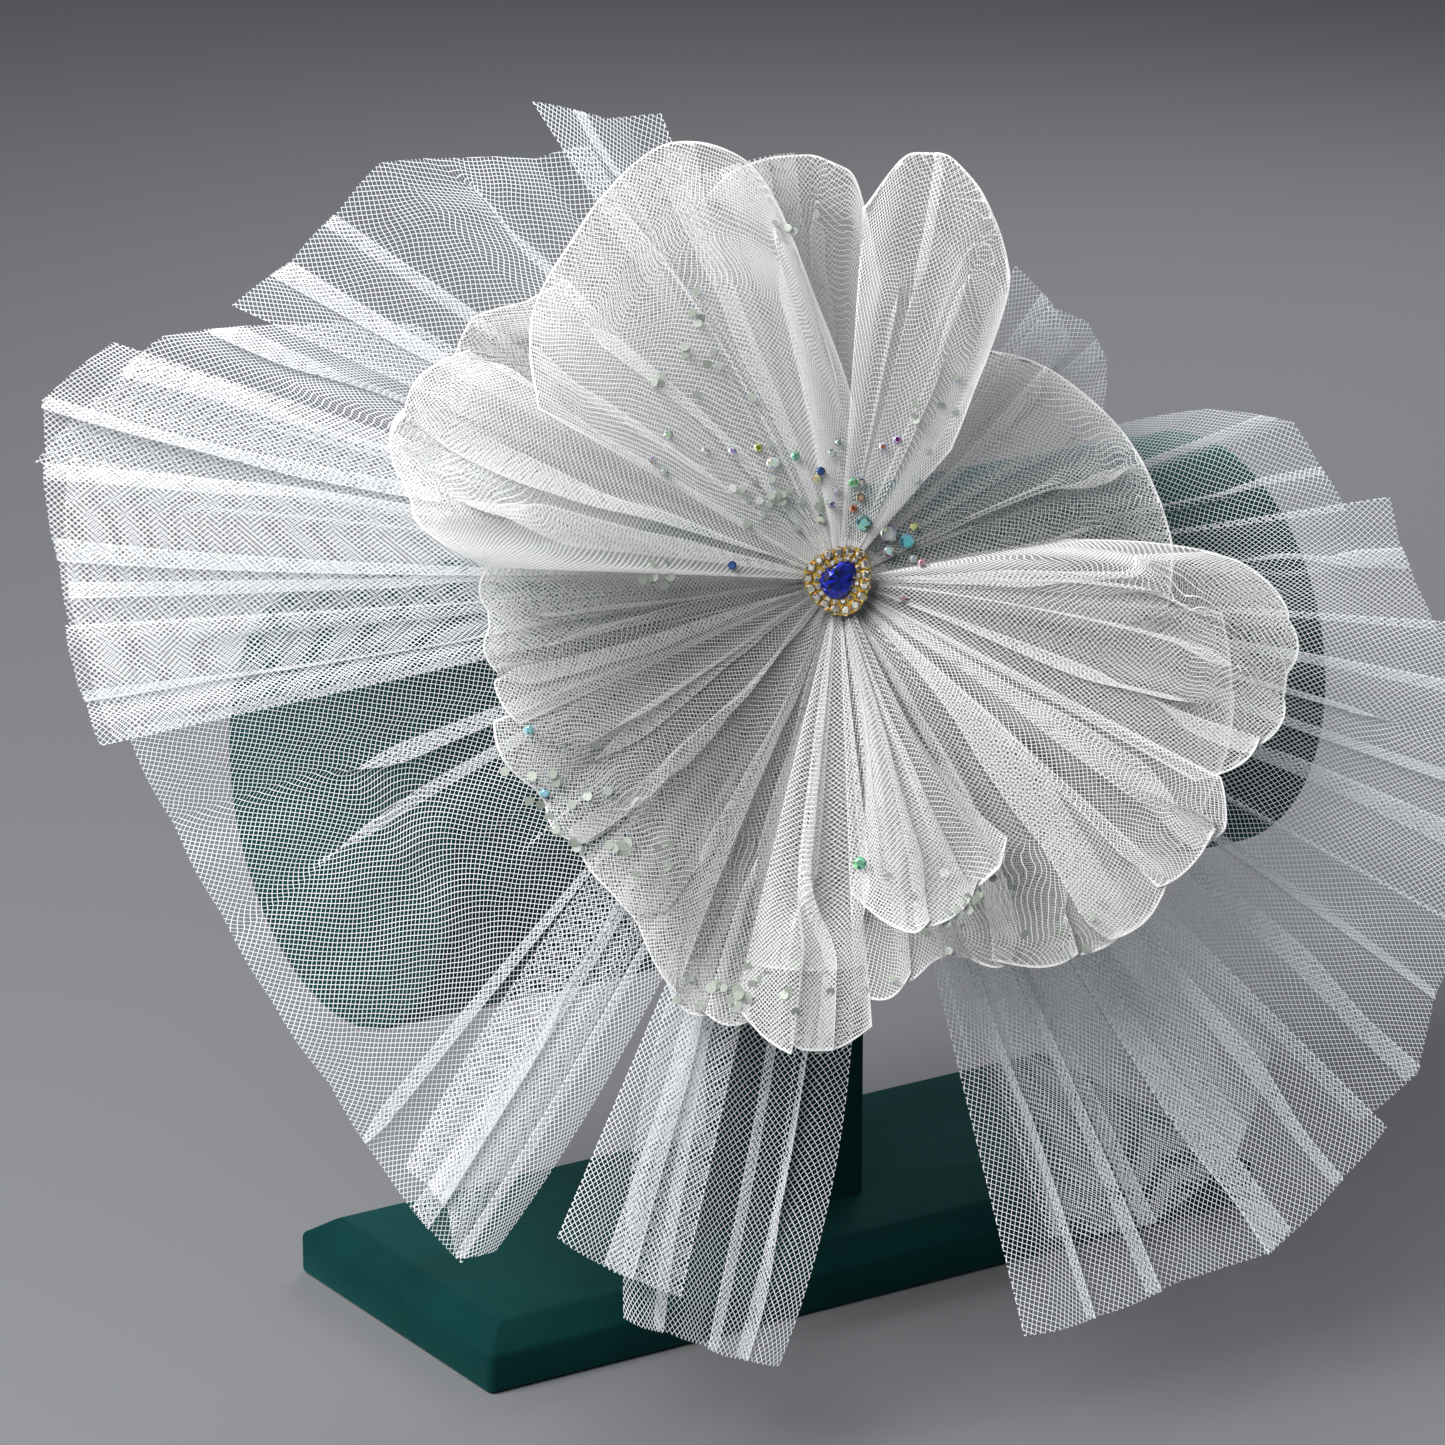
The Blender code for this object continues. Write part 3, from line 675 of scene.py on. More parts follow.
PUFF_FOLDS = {
    # puff: the same as for the net, with the outer fold in place of the edge
    "puff_top_left": (
        (95, 99.5, 1.0, 2.4, 1.4, 3.0, 0.15, 0.8), (104, 110.5, 2.0, 2.0, 3.0, 4.0, 0.1),
        (116, 122.0, -1.0, 4.6, 1.6, -4.0, 0.15), (123, 136.5, 1.0, 2.0, 3.2, 4.0, 0.1, 0.92),
        (138, 144.0, 1.0, 1.8, 2.6, -3.0, 0.2),
    ),
    "puff_top": (
        (92, 93.0, 1.5, 2.0, 2.6, 3.0, 0.15, 0.95), (99, 100.5, 0.5, 2.6, 1.4, -3.0, 0.15),
    ),
    "puff_top_right": (
        (64, 66.5, 1.6, 2.0, 1.4, 3.0, 0.2, 0.9), (74.5, 77.0, -1.2, 4.0, 1.2, 4.0, 0.15),
    ),
    "puff_right_back": (
        (10, 11.0, 1.6, 2.0, 1.4, 3.0, 0.25, 0.85), (20, 16.0, 1.2, 2.4, 1.6, -3.0, 0.2, 0.9),
        (30, 26.0, 0.0, 4.0, 2.0, 3.0, 0.15, 0.82), (43, 45.0, 0.0, 2.0, 2.6, 3.0, 0.2),
    ),
    "puff_right": (
        (-19, -21.5, -1.5, 1.8, 2.8, 3.0, 0.1), (-8, -13.0, 1.0, 2.0, 3.0, 4.0, 0.1, 0.95),
        (0.5, -3.5, 1.4, 2.4, 1.4, -4.0, 0.1, 0.8), (5.0, 4.0, 0.6, 1.6, 1.4, 3.0, 0.1),
    ),
    "puff_low_right": ((-34.0, -35.5, 0.6, 1.8, 2.8, 3.0, 0.1),),
    "puff_low_right_back": (
        (-18, -17, 1.0, 2.0, 3.0, 3.0, 0.15), (-32, -33, 1.0, 2.4, 1.6, -3.0, 0.15, 0.9),
        (-45, -47, 1.0, 1.8, 2.6, 3.0, 0.15),
    ),
    "puff_bottom_right": (
        (-79, -80.5, 1.6, 1.6, 2.6, 3.0, 0.08), (-72, -72.0, 2.0, 1.8, 3.0, 4.0, 0.08, 0.95),
        (-61, -66.5, 2.6, 1.8, 2.6, -4.0, 0.08), (-53, -58.5, 2.6, 2.0, 3.0, 4.0, 0.08),
        (-46.8, -50.5, 1.6, 1.4, 2.2, -3.0, 0.08),
    ),
    "puff_bottom": (
        (-92.5, -91.5, 1.0, 1.6, 2.4, 3.0, 0.08), (-98.5, -97.5, 0.6, 1.8, 1.2, -3.0, 0.08, 0.9),
    ),
    "puff_bottom_back": (
        (-69, -68, 1.0, 2.0, 3.0, 3.0, 0.15), (-86, -88, -1.0, 2.0, 2.6, -3.0, 0.15, 0.9),
    ),
    "puff_low_left": (
        (-147, -144.0, 2.0, 2.4, 1.6, 3.0, 0.25, 0.9), (-128, -135.5, 2.0, 2.4, 3.0, 4.0, 0.2),
        (-117, -121.0, 1.0, 1.8, 1.4, -3.0, 0.15, 0.8), (-110, -112.5, -1.6, 1.6, 2.6, 4.0, 0.1),
        (-105.5, -106.0, -0.6, 1.2, 1.6, -3.0, 0.1),
    ),
    "puff_left_low": (
        (184, 186.5, 1.0, 2.6, 1.6, 3.0, 0.15, 0.95), (193, 195.0, 0.6, 1.6, 2.6, -3.0, 0.15),
    ),
    "puff_left": (
        (157, 158.5, 1.2, 2.0, 2.8, 3.0, 0.15), (166, 168.5, 0.8, 2.6, 1.6, 4.0, 0.1, 0.95),
    ),
    "puff_upper_left": ((144, 147.0, 1.0, 2.0, 3.0, 3.0, 0.15),),
    "puff_front_loop": (
        (-78, -76.0, 1.0, 1.6, 2.6, 3.0, 0.08), (-67, -65.5, 1.0, 1.6, 2.4, 3.0, 0.08),
    ),
}
PUFF_WAVE = 0.16        # how much of the solid's own pleats each puff keeps
PUFF_GATHERS = 3.0      # small gathers for each 10 degrees of a puff
PUFF_RIDGES = 0.9       # broad soft ridges for each 10 degrees
PUFF_BULGE = 2.6        # mm that a panel between two folds arches forward
PUFF_SCALLOP = 2.6      # mm that a panel's middle reaches out past its folds
PUFF_ROOT = 0.30        # how wide a puff is cut at the knot, as a share of its outer width
LOOP_ROOT = 0.20        # the same for the loop
PUFF_OVERLAP = 1.6      # degrees that a puff runs past its neighbours on each side
PUFF_TILT = 2.2         # mm that a puff's last side lies in front of its first, at the fold
PUFF_RIM, RIM_DENSITY = 0.5, 14.0   # the crisp folded edge: its width in mm, and its layers' worth
LOOSELY_GATHERED = 2.4  # the same as MOST_GATHERED, for the loop, which hangs loose in front
FRONT_ROWS, BACK_ROWS, PUFF_COLUMNS = 52, 28, 4.0   # columns are for each degree
FRONT_CLOSE, BACK_CLOSE = 1.7, 1.5  # how much closer the rows lie towards the fold
BACK_KEEPS = 0.75       # share of the way out past which the back keeps the front's folds
UPPER_GATHERS = 0.55    # how many gathers the smooth upper puffs have, as a share of the others'
SMALL_GATHERS = {"shortest": 0.2, "longest": 0.8, "lift": 1.6, "lap": 1.7, "width": 1.25, "bend": 1.4}
BROAD_RIDGES = {"shortest": 0.7, "longest": 1.1, "lift": 4.4, "lap": 4.0, "width": 2.4, "bend": 2.2}
LOOP_NECK, NECK_END = 0.45, 0.2     # how narrow the loop is at the knot, and how far out it stays so
REACH_BLUR = 0.05       # share of a puff's width over which its outline is softened
HALF_AT_KNOT, HALF_AT_BELLY = 1.4, 2.6      # half of a puff's thickness in mm
PUFF_RADII = (30, 95)   # the lifts of the folds grow between these radii
BILLOW, BACK_BILLOW, MORE_IN_FRONT = 1.3, 0.4, 1.2  # mm, its share at the back, and what the front adds
# painted shade: how light each layer's front half is painted, as a share of its colour
PUFF_PAINTED_LIGHT = {"puff_back": 0.42, "puff_front": 1.0, "puff_loop": 0.62}
UPPER_BACK_PAINTED_SHADE = 0.40  # painted shade of an upper puff's back half, as a share of its front's
BACK_PAINTED_SHADE = 0.12        # painted shade of every other puff's back half
FOLD_PAINTED_LIGHT, FOLD_START, FOLD_FADE = 0.45, 0.85, 0.15     # painted light added towards the outer fold, and where it starts


def softened(values, share):
    """Values along a line, blurred over a share of its length, with the ends held."""
    reach = max(1, int(share * len(values)))
    kernel = np.hanning(2 * reach + 3)
    padded = np.pad(values, reach + 1, mode="edge")
    return np.convolve(padded, kernel / kernel.sum(), mode="valid")


def puff_surface(row, number):
    """A puff: out from the knot along the front, round the fold, and home behind, closed at its sides."""
    name, layer, first, last, pleats, reaches = row
    folds = PUFF_FOLDS[name]
    low, high = first - PUFF_OVERLAP, last + PUFF_OVERLAP
    degrees, middle = high - low, (low + high) / 2
    upper = math.sin(math.radians((first + last) / 2)) > 0.3
    places = cloth_columns(low, high, folds, PUFF_COLUMNS)
    outward = 1 - (1 - np.linspace(0, 1, FRONT_ROWS)) ** FRONT_CLOSE
    homeward = 1 - np.linspace(0, 1, BACK_ROWS)[1:] ** BACK_CLOSE
    along = np.concatenate([outward, homeward])[:, None]
    front = np.concatenate([np.ones(FRONT_ROWS), np.zeros(BACK_ROWS - 1)])[:, None]

    # the folds and gathers, which the back half keeps near the outer fold only
    bearing, rise, arch = folded(places, along, folds)
    kept = np.where(front > 0, 1.0, np.clip((along - BACK_KEEPS) / (1 - BACK_KEEPS), 0, 1) ** 2)
    plain = np.broadcast_to(places[None, :], bearing.shape)
    bearing, rise = plain + (bearing - plain) * kept, rise * kept
    many = UPPER_GATHERS if upper else 1.0
    small = max(5, int(many * PUFF_GATHERS * degrees / 10))
    broad = max(2, int(many * PUFF_RIDGES * degrees / 10))
    for seed, share in ((140 + number, front), (240 + number, 1 - front)):
        for count, own_seed, shape in ((small, seed, SMALL_GATHERS), (broad, seed + 50, BROAD_RIDGES)):
            swing, up = gathers(places, along, count, own_seed, **shape)
            bearing, rise = bearing + swing * share, rise + up * share
    sides = np.clip(from_side(places) / FREE_SIDE, 0, 1)
    bearing, rise = plain + (bearing - plain) * sides, rise * sides
    shown = (bearing - low) / degrees
    if layer == "puff_loop":  # a narrow gathered tube that spreads only at its end
        spread = np.clip((along - NECK_END) / (1 - NECK_END), 0, 1) ** 1.6
        bearing = middle + (bearing - middle) * (LOOP_NECK + (1 - LOOP_NECK) * spread)

    # the solid's form: its reach and pleats, and the two halves apart
    fine = np.linspace(0, 1, 120)
    outline = softened(np.interp(fine, np.linspace(0, 1, len(reaches)), reaches), REACH_BLUR)
    reach = np.interp(shown, fine, outline)
    wave = zigzag(shown, reaches, pleats)
    flat_share = ((places - low) / degrees)[None, :]
    sides_closed = np.sqrt(np.clip(1 - np.abs(2 * flat_share - 1) ** 8, 0, 1))
    belly = np.sin(math.pi * np.clip(along, 0, 1)) ** 0.8
    apart = (HALF_AT_KNOT * (1 - along) + HALF_AT_BELLY * belly) * sides_closed
    radius = ROOT + (reach + PUFF_SCALLOP * (not upper) * (arch - 0.7) - ROOT) * along
    billow = np.sin(5.1 * shown + 4.0 * along + number) + np.sin(11.0 * shown - 3.0 * along + 2.3 * number)
    height = layer_height(layer, radius, np.radians(bearing)) + (2 * front - 1) * apart
    height = height + PUFF_WAVE * wave * LAYERS[layer][3] * radius / 100 + PUFF_TILT * (shown - 0.5) * along
    lift = rise + PUFF_BULGE * arch * along * front
    height = height + lift * np.clip(radius, *PUFF_RADII) / PUFF_RADII[1]
    height = height + BILLOW * billow * along * (BACK_BILLOW + MORE_IN_FRONT * front)
    points = flower_point(radius, np.radians(bearing), height)

    # the folded edge, the cut, and the painted shade and light
    across = np.abs(np.gradient(np.radians(bearing), axis=1)) * reach
    steep = np.gradient(reach, axis=1) / np.maximum(across, 1e-3)
    to_fold = (1 - along) * reach / np.sqrt(1 + np.minimum(np.abs(steep), 4) ** 2)
    to_side = np.radians(from_side(places)) * radius
    on_side = (layer != "puff_loop") * along ** 3 * np.exp(-(to_side / PUFF_RIM) ** 2)
    rim = RIM_DENSITY * np.maximum(np.exp(-(to_fold / PUFF_RIM) ** 2), on_side)
    flat = fan_cut(points, along, FRONT_ROWS, PUFF_ROOT if layer != "puff_loop" else LOOP_ROOT)
    flat[..., 1] = np.where(front > 0, flat[..., 1], 2 * flat[FRONT_ROWS - 1, :, 1] - flat[..., 1])
    # painted shade and light: back layers, the loop and back halves painted darker, and the cloth near the
    # outer fold painted lighter
    lit = PUFF_PAINTED_LIGHT[layer]
    behind = UPPER_BACK_PAINTED_SHADE * lit if upper else BACK_PAINTED_SHADE
    near_fold = np.clip((along - FOLD_START) / FOLD_FADE, 0, 1)
    return points, flat, rim, np.clip(lit * front + behind * (1 - front) + FOLD_PAINTED_LIGHT * near_fold, 0, 1)


fine_tulle = net_material("fine_tulle", (0.95, 0.95, 0.94), (1.42, 1.62), 0.061, 0.5)
cloth_points = []
for number, row in enumerate(PUFFS):
    points, flat, rim, painted_shading = puff_surface(row, number)
    cloth_points.append(points)
    most = LOOSELY_GATHERED if row[1] == "puff_loop" else MOST_GATHERED
    cloth_piece(row[0], points, flat, fine_tulle, rim, painted_shading, most)


# THE BROOCH. A pear-shaped gilt setting: a faceted royal-blue stone in the middle, a close row of
# small clear crystals round it, and an outer row of larger crystals, each in its own cup.

KNOT_SEAT, SETTING_THICKNESS = 41.8, 1.4
SETTING_LENGTH, SETTING_WIDTH, STONE_LENGTH, STONE_WIDTH = 19.4, 18.2, 11.6, 9.0
PEAR_TURN = 50.0        # degrees that the broad end is turned up from the right
OUTER_CRYSTALS, OUTER_RADIUS, INNER_CRYSTALS, INNER_RADIUS = 17, 1.32, 17, 0.78
SETTING_TOP = KNOT_SEAT + SETTING_THICKNESS


def pear_plan(length, width, angle):
    """A pear outline in the flower's plane: round at one end, drawn out to a point at the other."""
    turn = math.radians(PEAR_TURN)
    along = np.cos(angle) * (1 + 0.10 * np.cos(angle)) * length / 2
    across = np.sin(angle) * (1 - 0.22 * np.cos(angle)) * width / 2
    right = along * math.cos(turn) - across * math.sin(turn)
    up = along * math.sin(turn) + across * math.cos(turn)
    return np.stack([right, up], axis=-1)


def raised(plan, height):
    """Points over a plan in the flower's plane, at a height above its seat."""
    height = np.broadcast_to(np.asarray(height, float)[..., None], plan[..., :1].shape)
    return SEAT + plan[..., :1] * RIGHT + plan[..., 1:2] * UP + height * FACING


gilt, _ = plain_material("gilt", (0.86, 0.58, 0.12), 0.26, {"Metallic": 1.0})
angle = np.linspace(0, 2 * math.pi, 68, endpoint=False)
PLATE_SECTION = (
    # size, height above the knot
    (0.94, 0.0), (1.0, 0.35), (1.0, 1.0), (0.96, 1.4),
)
rings = []
for size, height in PLATE_SECTION:
    rings.append(raised(pear_plan(SETTING_LENGTH * size, SETTING_WIDTH * size, angle), KNOT_SEAT + height))
points, faces = ring_stack(rings)
piece("brooch_plate", points, faces, gilt, ["brooch_setting"], smooth=40)


def evenly_round(length, width, count):
    """Places at even distances round a pear outline."""
    fine = pear_plan(length, width, np.linspace(0, 2 * math.pi, 721))
    travelled = np.concatenate([[0], np.cumsum(np.linalg.norm(np.diff(fine, axis=0), axis=1))])
    wanted = np.arange(count) / count * travelled[-1]
    return np.stack([np.interp(wanted, travelled, fine[:, k]) for k in (0, 1)], axis=-1)


def cup_and_prongs(plan, radius, low):
    """A small flared cup with four prongs leaning in over its crystal."""
    angle = np.linspace(0, 2 * math.pi, 16, endpoint=False)
    lobes = 1 + 0.10 * (np.cos(4 * angle) > 0.6)
    rise = np.where(np.cos(4 * angle) > 0.6, 0.55, 0.0)
    rings = []
    for size, up, lifted in ((0.75, 0.0, 0), (1.0, 0.55, 1), (0.86, 0.80, 1), (0.70, 0.35, 0)):
        ring = plan + np.stack([np.cos(angle), np.sin(angle)], axis=-1) * (radius * size * lobes)[:, None]
        rings.append(raised(ring, low + radius * (up + lifted * rise)))
    return ring_stack(rings)


def cut_crystal(plan, radius, low, depth, sides=8):
    """A round faceted crystal: a flat table, a ring of crown facets, a girdle and a point below."""
    turn = np.linspace(0, 2 * math.pi, sides, endpoint=False)
    half = math.pi / sides
    rings = []
    for size, up, shift in ((0.05, 0.0, 0.0), (1.0, 0.55, 0.0), (0.82, 0.80, half), (0.52, 1.0, 0.0)):
        ring = plan + radius * size * np.stack([np.cos(turn + shift), np.sin(turn + shift)], axis=-1)
        rings.append(raised(ring, np.full(sides, low + depth * up)))
    return ring_stack(rings)


def joined(parts):
    """Many small shapes as one: their points end to end, and their faces renumbered."""
    points, faces, first = [], [], 0
    for each, its_faces in parts:
        points.append(each)
        faces += [[first + k for k in face] for face in its_faces]
        first += len(each)
    return np.concatenate(points), faces


def paint_facet_reflections(obj, colours, seed, spread, dark, hue):
    """A colour for each face round its own part's colour, with a painted reflection, as cut glass throws
    back the room unevenly: some faces painted brighter, some darker.

    The brightest face is a quarter brighter than the colour. spread is how far down the darkest go, a
    low dark gives more of those, and hue is how far the colours stray from each other.
    """
    draw = np.random.default_rng(seed)
    mesh = obj.data
    sizes = np.empty(len(mesh.polygons), np.int32)
    mesh.polygons.foreach_get("loop_total", sizes)
    # painted reflection: each face darkened by a random share, the brightest painted a quarter over its
    # colour
    painted_darkening = draw.uniform(0, 1, (len(sizes), 1)) ** dark
    shade = 1.25 - 1.25 * spread * painted_darkening + draw.normal(0, hue, (len(sizes), 3))
    each = np.clip(colours * shade, 0, 1)
    colour = np.column_stack([each, np.ones(len(each))]).repeat(sizes, axis=0)
    layer = mesh.color_attributes.new("colour_and_painted_reflection", "FLOAT_COLOR", "CORNER")
    layer.data.foreach_set("color", colour.astype(np.float32).ravel())


def cut_glass_material(name, roughness, metallic):
    """Foiled cut glass: hard polished facets, each with its own colour and a painted reflection."""
    more = {"Metallic": metallic, "Coat Weight": 1.0, "Coat Roughness": 0.02}
    made, shader = plain_material(name, (0.9, 0.9, 0.9), roughness, more)
    tree = made.node_tree
    colour_and_painted_reflection = node(tree, "ShaderNodeAttribute", attribute_name="colour_and_painted_reflection")
    tree.links.new(colour_and_painted_reflection.outputs["Color"], shader.inputs["Base Color"])
    return made


foiled_glass = cut_glass_material("foiled_glass", 0.10, 0.35)
outer_size = [size - 2 * OUTER_RADIUS + 0.2 for size in (SETTING_LENGTH, SETTING_WIDTH)]
inner_size = [size + 2 * INNER_RADIUS - 0.1 for size in (STONE_LENGTH, STONE_WIDTH)]
CRYSTAL_ROWS = (
    # places, crystal's radius, its own share of that, height above the setting, depth
    (evenly_round(*outer_size, OUTER_CRYSTALS), OUTER_RADIUS, 1.04, 0.7, 1.3),
    (evenly_round(*inner_size, INNER_CRYSTALS), INNER_RADIUS, 1.08, 0.5, 0.95),
)
CUP_SHARE, CUP_LIFT = 1.12, 0.05  # a cup's radius as a share of its crystal's, and how high it stands
cups, gems = [], []
for row, radius, share, height, depth in CRYSTAL_ROWS:
    cups += [cup_and_prongs(plan, radius * CUP_SHARE, SETTING_TOP + CUP_LIFT) for plan in row]
    gems += [cut_crystal(plan, radius * share, SETTING_TOP + height, depth) for plan in row]
points, faces = joined(cups)
piece("brooch_cups", points, faces, gilt, ["brooch_ring"], smooth=50)
points, faces = joined(gems)
made = piece("brooch_crystals", points, faces, foiled_glass, ["brooch_ring"], smooth=0)
# painted reflections on the brooch's crystals: faces painted brighter or darker at random
paint_facet_reflections(made, np.tile((0.86, 0.81, 0.70), (len(faces), 1)), 5, spread=0.97, dark=0.55, hue=0.03)

STONE_SECTION = (
    # size, share of a step turned, height above the setting
    (0.45, 0.0, 0.4), (1.0, 0.0, 1.3), (0.98, 0.0, 1.5), (0.80, 0.5, 2.5), (0.56, 0.0, 3.2),
)


def faceted_stone():
    """The pear stone: a girdle, two rings of crown facets turned half a step apart, and a table. Each crown
    facet is split in two, and the table into a fan, so that each part gets its own painted reflection.
    """
    count = 14
    step = 2 * math.pi / count
    rings = []
    for size, shift, up in STONE_SECTION:
        angle = np.linspace(0, 2 * math.pi, count, endpoint=False) + shift * step
        plan = pear_plan(STONE_LENGTH * size, STONE_WIDTH * size, angle)
        rings.append(raised(plan, np.full(count, SETTING_TOP + up)))
    points, faces = ring_stack(rings)
    table = faces.pop()
    heart = len(points)
    points = np.concatenate([points, [points[table].mean(axis=0)]])
    split = [[face[k] for k in corners] for face in faces[:-1] for corners in ((0, 1, 2), (0, 2, 3))]
    split += [faces[-1]] + [[low, high, heart] for low, high in zip(table, table[1:] + table[:1])]
    return points, split


blue_glass = cut_glass_material("blue_glass", 0.05, 0.55)
points, faces = faceted_stone()
made = piece("brooch_stone_cut", points, faces, blue_glass, ["brooch_stone"], smooth=0)
# painted reflections on the stone: facets painted brighter or darker at random
paint_facet_reflections(made, np.tile((0.010, 0.040, 0.78), (len(faces), 1)), 9, spread=0.97, dark=0.55, hue=0.1)


# THE SCATTERED CRYSTALS AND SEQUINS. Foil-backed crystals glued on the tulle, most of them above
# the brooch, and thin round pearly sequins caught between the tulle's layers.

TONES = {
    "clear": (0.80, 0.84, 0.88), "opal": (0.80, 0.88, 0.80), "yellow": (0.85, 0.80, 0.40),
    "green": (0.30, 0.80, 0.45), "navy": (0.04, 0.10, 0.35), "lilac": (0.70, 0.62, 0.90),
    "bronze": (0.50, 0.34, 0.20), "copper": (0.70, 0.36, 0.22), "cyan": (0.40, 0.80, 0.88),
    "teal": (0.20, 0.66, 0.70), "pink": (0.90, 0.60, 0.70),
}
CRYSTALS = (
    # right and up from the brooch's middle, diameter, tone
    (-46, 39, 2.5, "clear"), (-36, 35, 2.3, "clear"), (-29, 35, 2.5, "clear"),
    (-22, 36, 2.5, "yellow"), (-18, 32, 4.0, "clear"), (-12, 34, 2.5, "green"),
    (-50, 32, 2.3, "clear"), (-47, 29, 2.3, "clear"), (0, 38, 2.3, "clear"),
    (-2, 35, 2.3, "clear"), (-5, 30, 2.5, "navy"), (-6, 28, 2.5, "yellow"),
    (16, 39, 2.5, "lilac"), (12, 37, 2.3, "clear"), (4, 27, 2.8, "green"),
    (6, 27, 2.8, "opal"), (-1, 25, 2.3, "clear"), (6, 23, 2.5, "bronze"),
    (4, 20, 2.5, "copper"), (-2, 21, 2.5, "clear"), (-5, 17, 2.8, "opal"),
    (7, 16, 4.5, "cyan"), (14, 13, 5.1, "clear"), (19, 11, 4.2, "teal"),
    (21, 15, 2.5, "yellow"), (14, 8, 3.4, "clear"), (21, 6, 2.5, "clear"),
    (23, 5, 2.5, "pink"), (-29, 4, 2.5, "navy"), (18, -5, 2.5, "pink"),
    (6, -75, 3.7, "green"), (-82, -40, 2.8, "cyan"), (-78, -57, 2.8, "cyan"),
)
SEQUIN_GROUPS = (
    # right and up from the brooch's middle, spread right and up, how many, diameter
    (-38, 63, 9, 14, 14, 2.4), (-19, 22, 14, 7, 22, 2.4), (-51, 1, 7, 4, 8, 2.6),
    (-73, -58, 12, 9, 16, 2.6), (-56, -72, 14, 7, 14, 2.6), (-12, -108, 22, 7, 20, 2.4),
    (-30, -109, 8, 4, 6, 3.0), (33, -84, 16, 9, 22, 2.4), (62, -96, 8, 7, 10, 2.6),
    (-16, 96, 12, 8, 5, 2.2), (24, 46, 12, 14, 8, 2.2),
)


def front_heights(places, within, share):
    """How high the cloth lies over places in the flower's plane, a share of the way up through the
    layers that pass within a few mm of each. Where there is no cloth, it is about the knot's height.
    """
    found = []
    for place in places:
        near = np.abs(cloth_plane - place).max(axis=1) < within
        levels = cloth_height[near]
        found.append(np.quantile(levels, share) if len(levels) else 40.0)
    return np.array(found)


shown = np.concatenate([each.reshape(-1, 3) for each in cloth_points]) - SEAT
cloth_plane, cloth_height = np.stack([shown @ RIGHT, shown @ UP], axis=-1), shown @ FACING
gem_places = np.array([(row[0], row[1]) for row in CRYSTALS], float)
gem_heights = front_heights(gem_places, 1.6, 1.0)
parts, colours = [], []
for place, height, row in zip(gem_places, gem_heights, CRYSTALS):
    each = cut_crystal(place, row[2] / 2, height - 0.2, 0.42 * row[2])
    parts.append(each)
    colours.append(np.tile(TONES[row[3]], (len(each[1]), 1)))
points, faces = joined(parts)
made = piece("scattered_crystals", points, faces, foiled_glass, [], smooth=0)
# painted reflections on the scattered crystals, over their own colours
paint_facet_reflections(made, np.concatenate(colours), 11, spread=0.95, dark=1.1, hue=0.11)

pearly, _ = plain_material("pearly_sequin", (0.46, 0.50, 0.43), 0.38, {"Coat Weight": 0.25, "Alpha": 0.6})
draw = np.random.default_rng(77)
places, sizes = [], []
for right, up, spread_right, spread_up, count, diameter in SEQUIN_GROUPS:
    places.append(np.array([right, up]) + draw.normal(0, 0.6, (count, 2)) * (spread_right, spread_up))
    sizes.append(np.full(count, diameter / 2))
places, sizes = np.concatenate(places), np.concatenate(sizes)
heights = front_heights(places, 2.4, 0.86)
parts = []
for place, height, radius in zip(places, heights, sizes):
    turn = np.linspace(0, 2 * math.pi, 10, endpoint=False)
    tilt = draw.normal(0, 0.35, 2)
    disc = radius * np.stack([np.cos(turn), np.sin(turn)], axis=-1)
    low = raised(place + disc, height + disc @ tilt)
    parts.append(ring_stack([low, low + 0.12 * FACING]))
points, faces = joined(parts)
piece("scattered_sequins", points, faces, pearly, [], smooth=40)


# THE STAGE. A plain pale floor, soft light from the upper left, and the photograph's view.

CAMERA_AZIMUTH, CAMERA_ELEVATION, CAMERA_DISTANCE = -32.7335, 18.1179, 2044.3
CAMERA_AIM = (-18.026, 151.678)  # to the right and up from the origin
FOCAL_PIXELS = 6901.8            # on a picture 1445 pixels wide

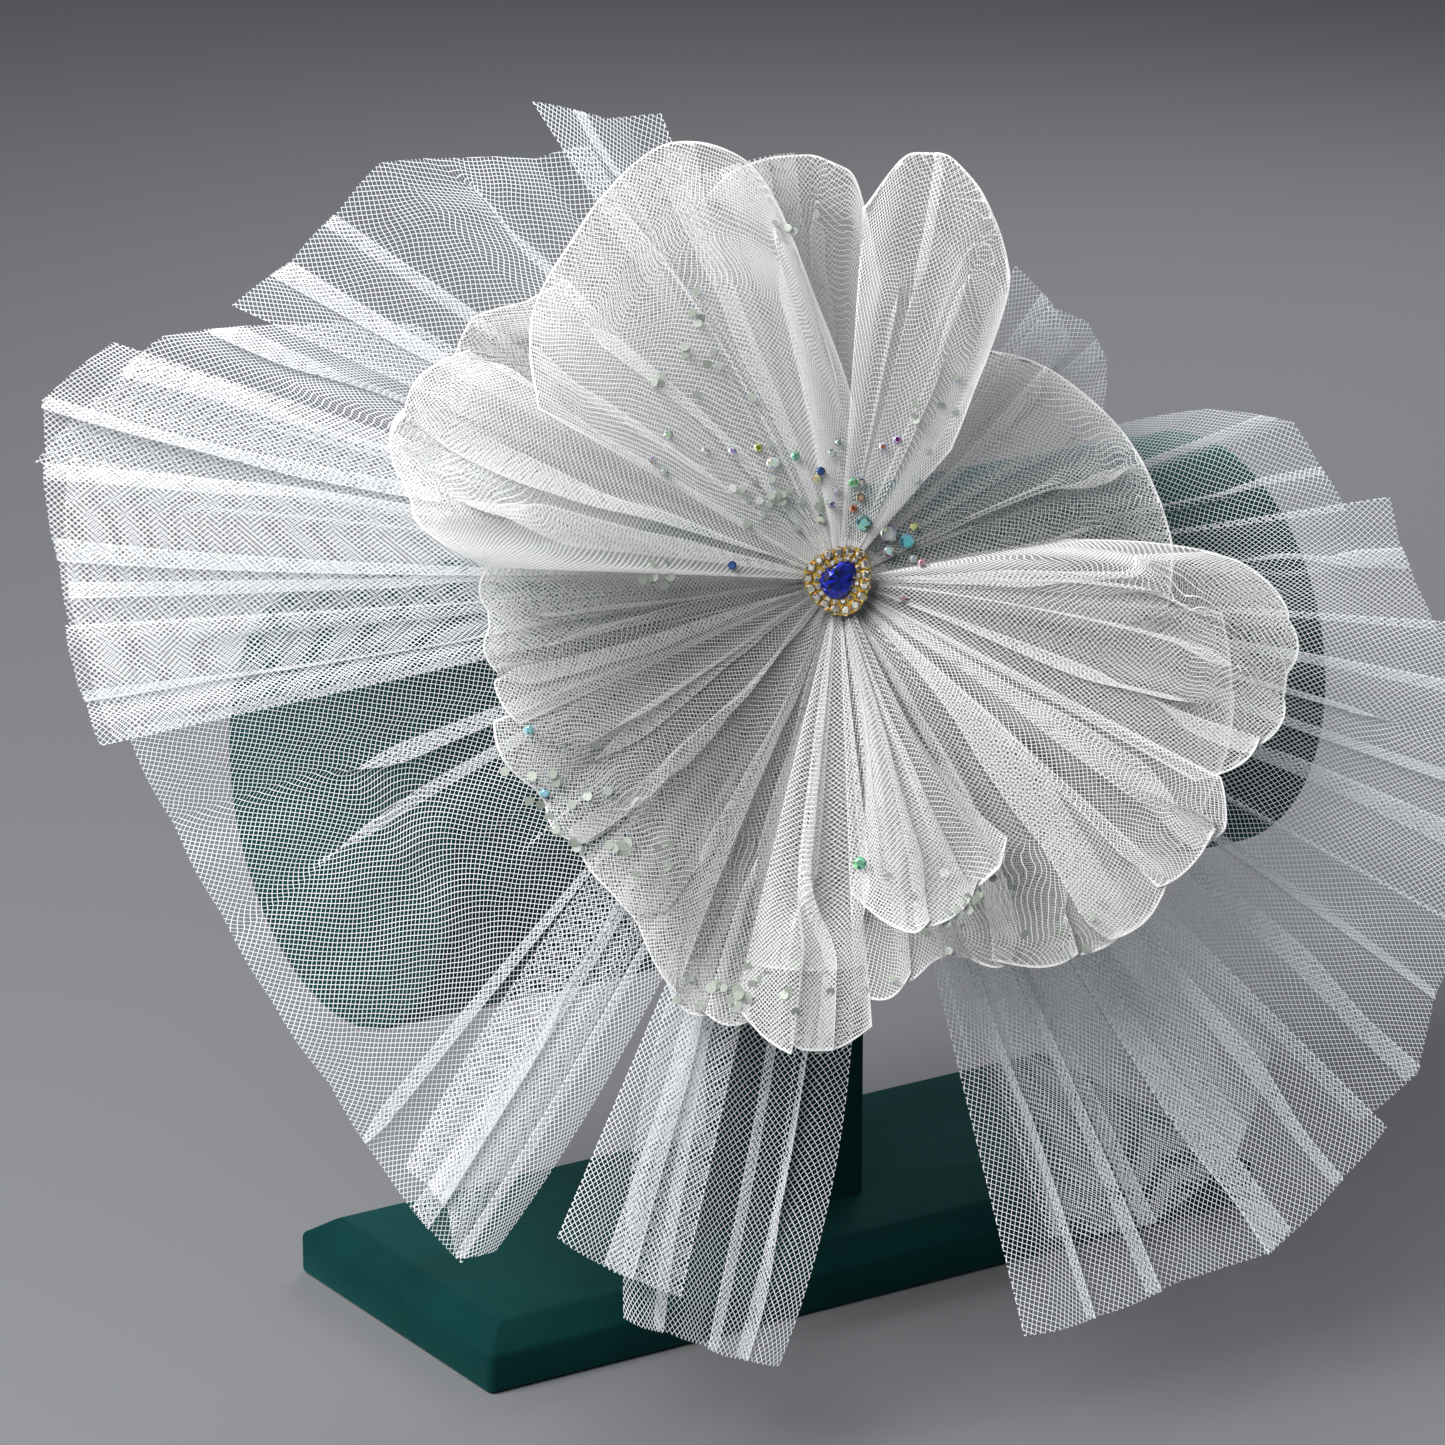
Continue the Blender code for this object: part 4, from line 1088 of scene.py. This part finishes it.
view_right, view_up, view_back = axes_of(CAMERA_AZIMUTH, CAMERA_ELEVATION)
aim = view_right * CAMERA_AIM[0] + view_up * CAMERA_AIM[1]
camera = bpy.data.objects.new("camera", bpy.data.cameras.new("camera"))
bpy.context.scene.collection.objects.link(camera)
camera.data.sensor_fit = "HORIZONTAL"
camera.data.sensor_width = 36.0
camera.data.lens = 36.0 * FOCAL_PIXELS / 1445
camera.data.clip_end = 50.0
turn = Matrix([Vector(view_right), Vector(view_up), Vector(view_back)]).transposed().to_4x4()
camera.matrix_world = Matrix.Translation(Vector((aim + view_back * CAMERA_DISTANCE) * 0.001)) @ turn
bpy.context.scene.camera = camera

FLOOR_HALF, FLOOR_TOP = 9.0, -0.0005   # metres
floor_material, _ = plain_material("floor", (0.19, 0.195, 0.203), 0.9)
mesh = bpy.data.meshes.new("floor")
corners = [(x * FLOOR_HALF, y * FLOOR_HALF, FLOOR_TOP) for x, y in ((-1, -1), (1, -1), (1, 1), (-1, 1))]
mesh.from_pydata(corners, [], [(0, 1, 2, 3)])
mesh.materials.append(floor_material)
floor = bpy.data.objects.new("floor", mesh)
bpy.context.scene.collection.objects.link(floor)

LIGHTS = (
    # name, right, up and towards the camera in metres, side of the square, power
    ("key", -0.85, 0.80, 0.95, 0.7, 24.5),
    ("fill", -0.45, 0.55, 1.6, 0.6, 14.0),
    ("rim", 0.3, 1.1, -0.9, 0.7, 8.0),
)
for name, right, up, back, side, power in LIGHTS:
    data = bpy.data.lights.new(name, "AREA")
    data.size, data.energy = side, power
    light = bpy.data.objects.new(name, data)
    bpy.context.scene.collection.objects.link(light)
    middle = Vector((aim * 0.001).tolist())
    place = middle + Vector((view_right * right + view_up * up + view_back * back).tolist())
    light.location = place
    light.rotation_euler = (place - middle).to_track_quat("Z", "Y").to_euler()

world = bpy.data.worlds.new("studio")
world.use_nodes = True
sky = world.node_tree.nodes["Background"]
sky.inputs["Color"].default_value = (0.75, 0.8, 0.9, 1.0)
sky.inputs["Strength"].default_value = 0.20
scene = bpy.context.scene
scene.world = world
scene.cycles.transparent_max_bounces = 40   # light passes the gaps of many layers of net
scene.cycles.max_bounces, scene.cycles.diffuse_bounces, scene.cycles.glossy_bounces = 3, 1, 2
scene.view_settings.view_transform = "Standard"
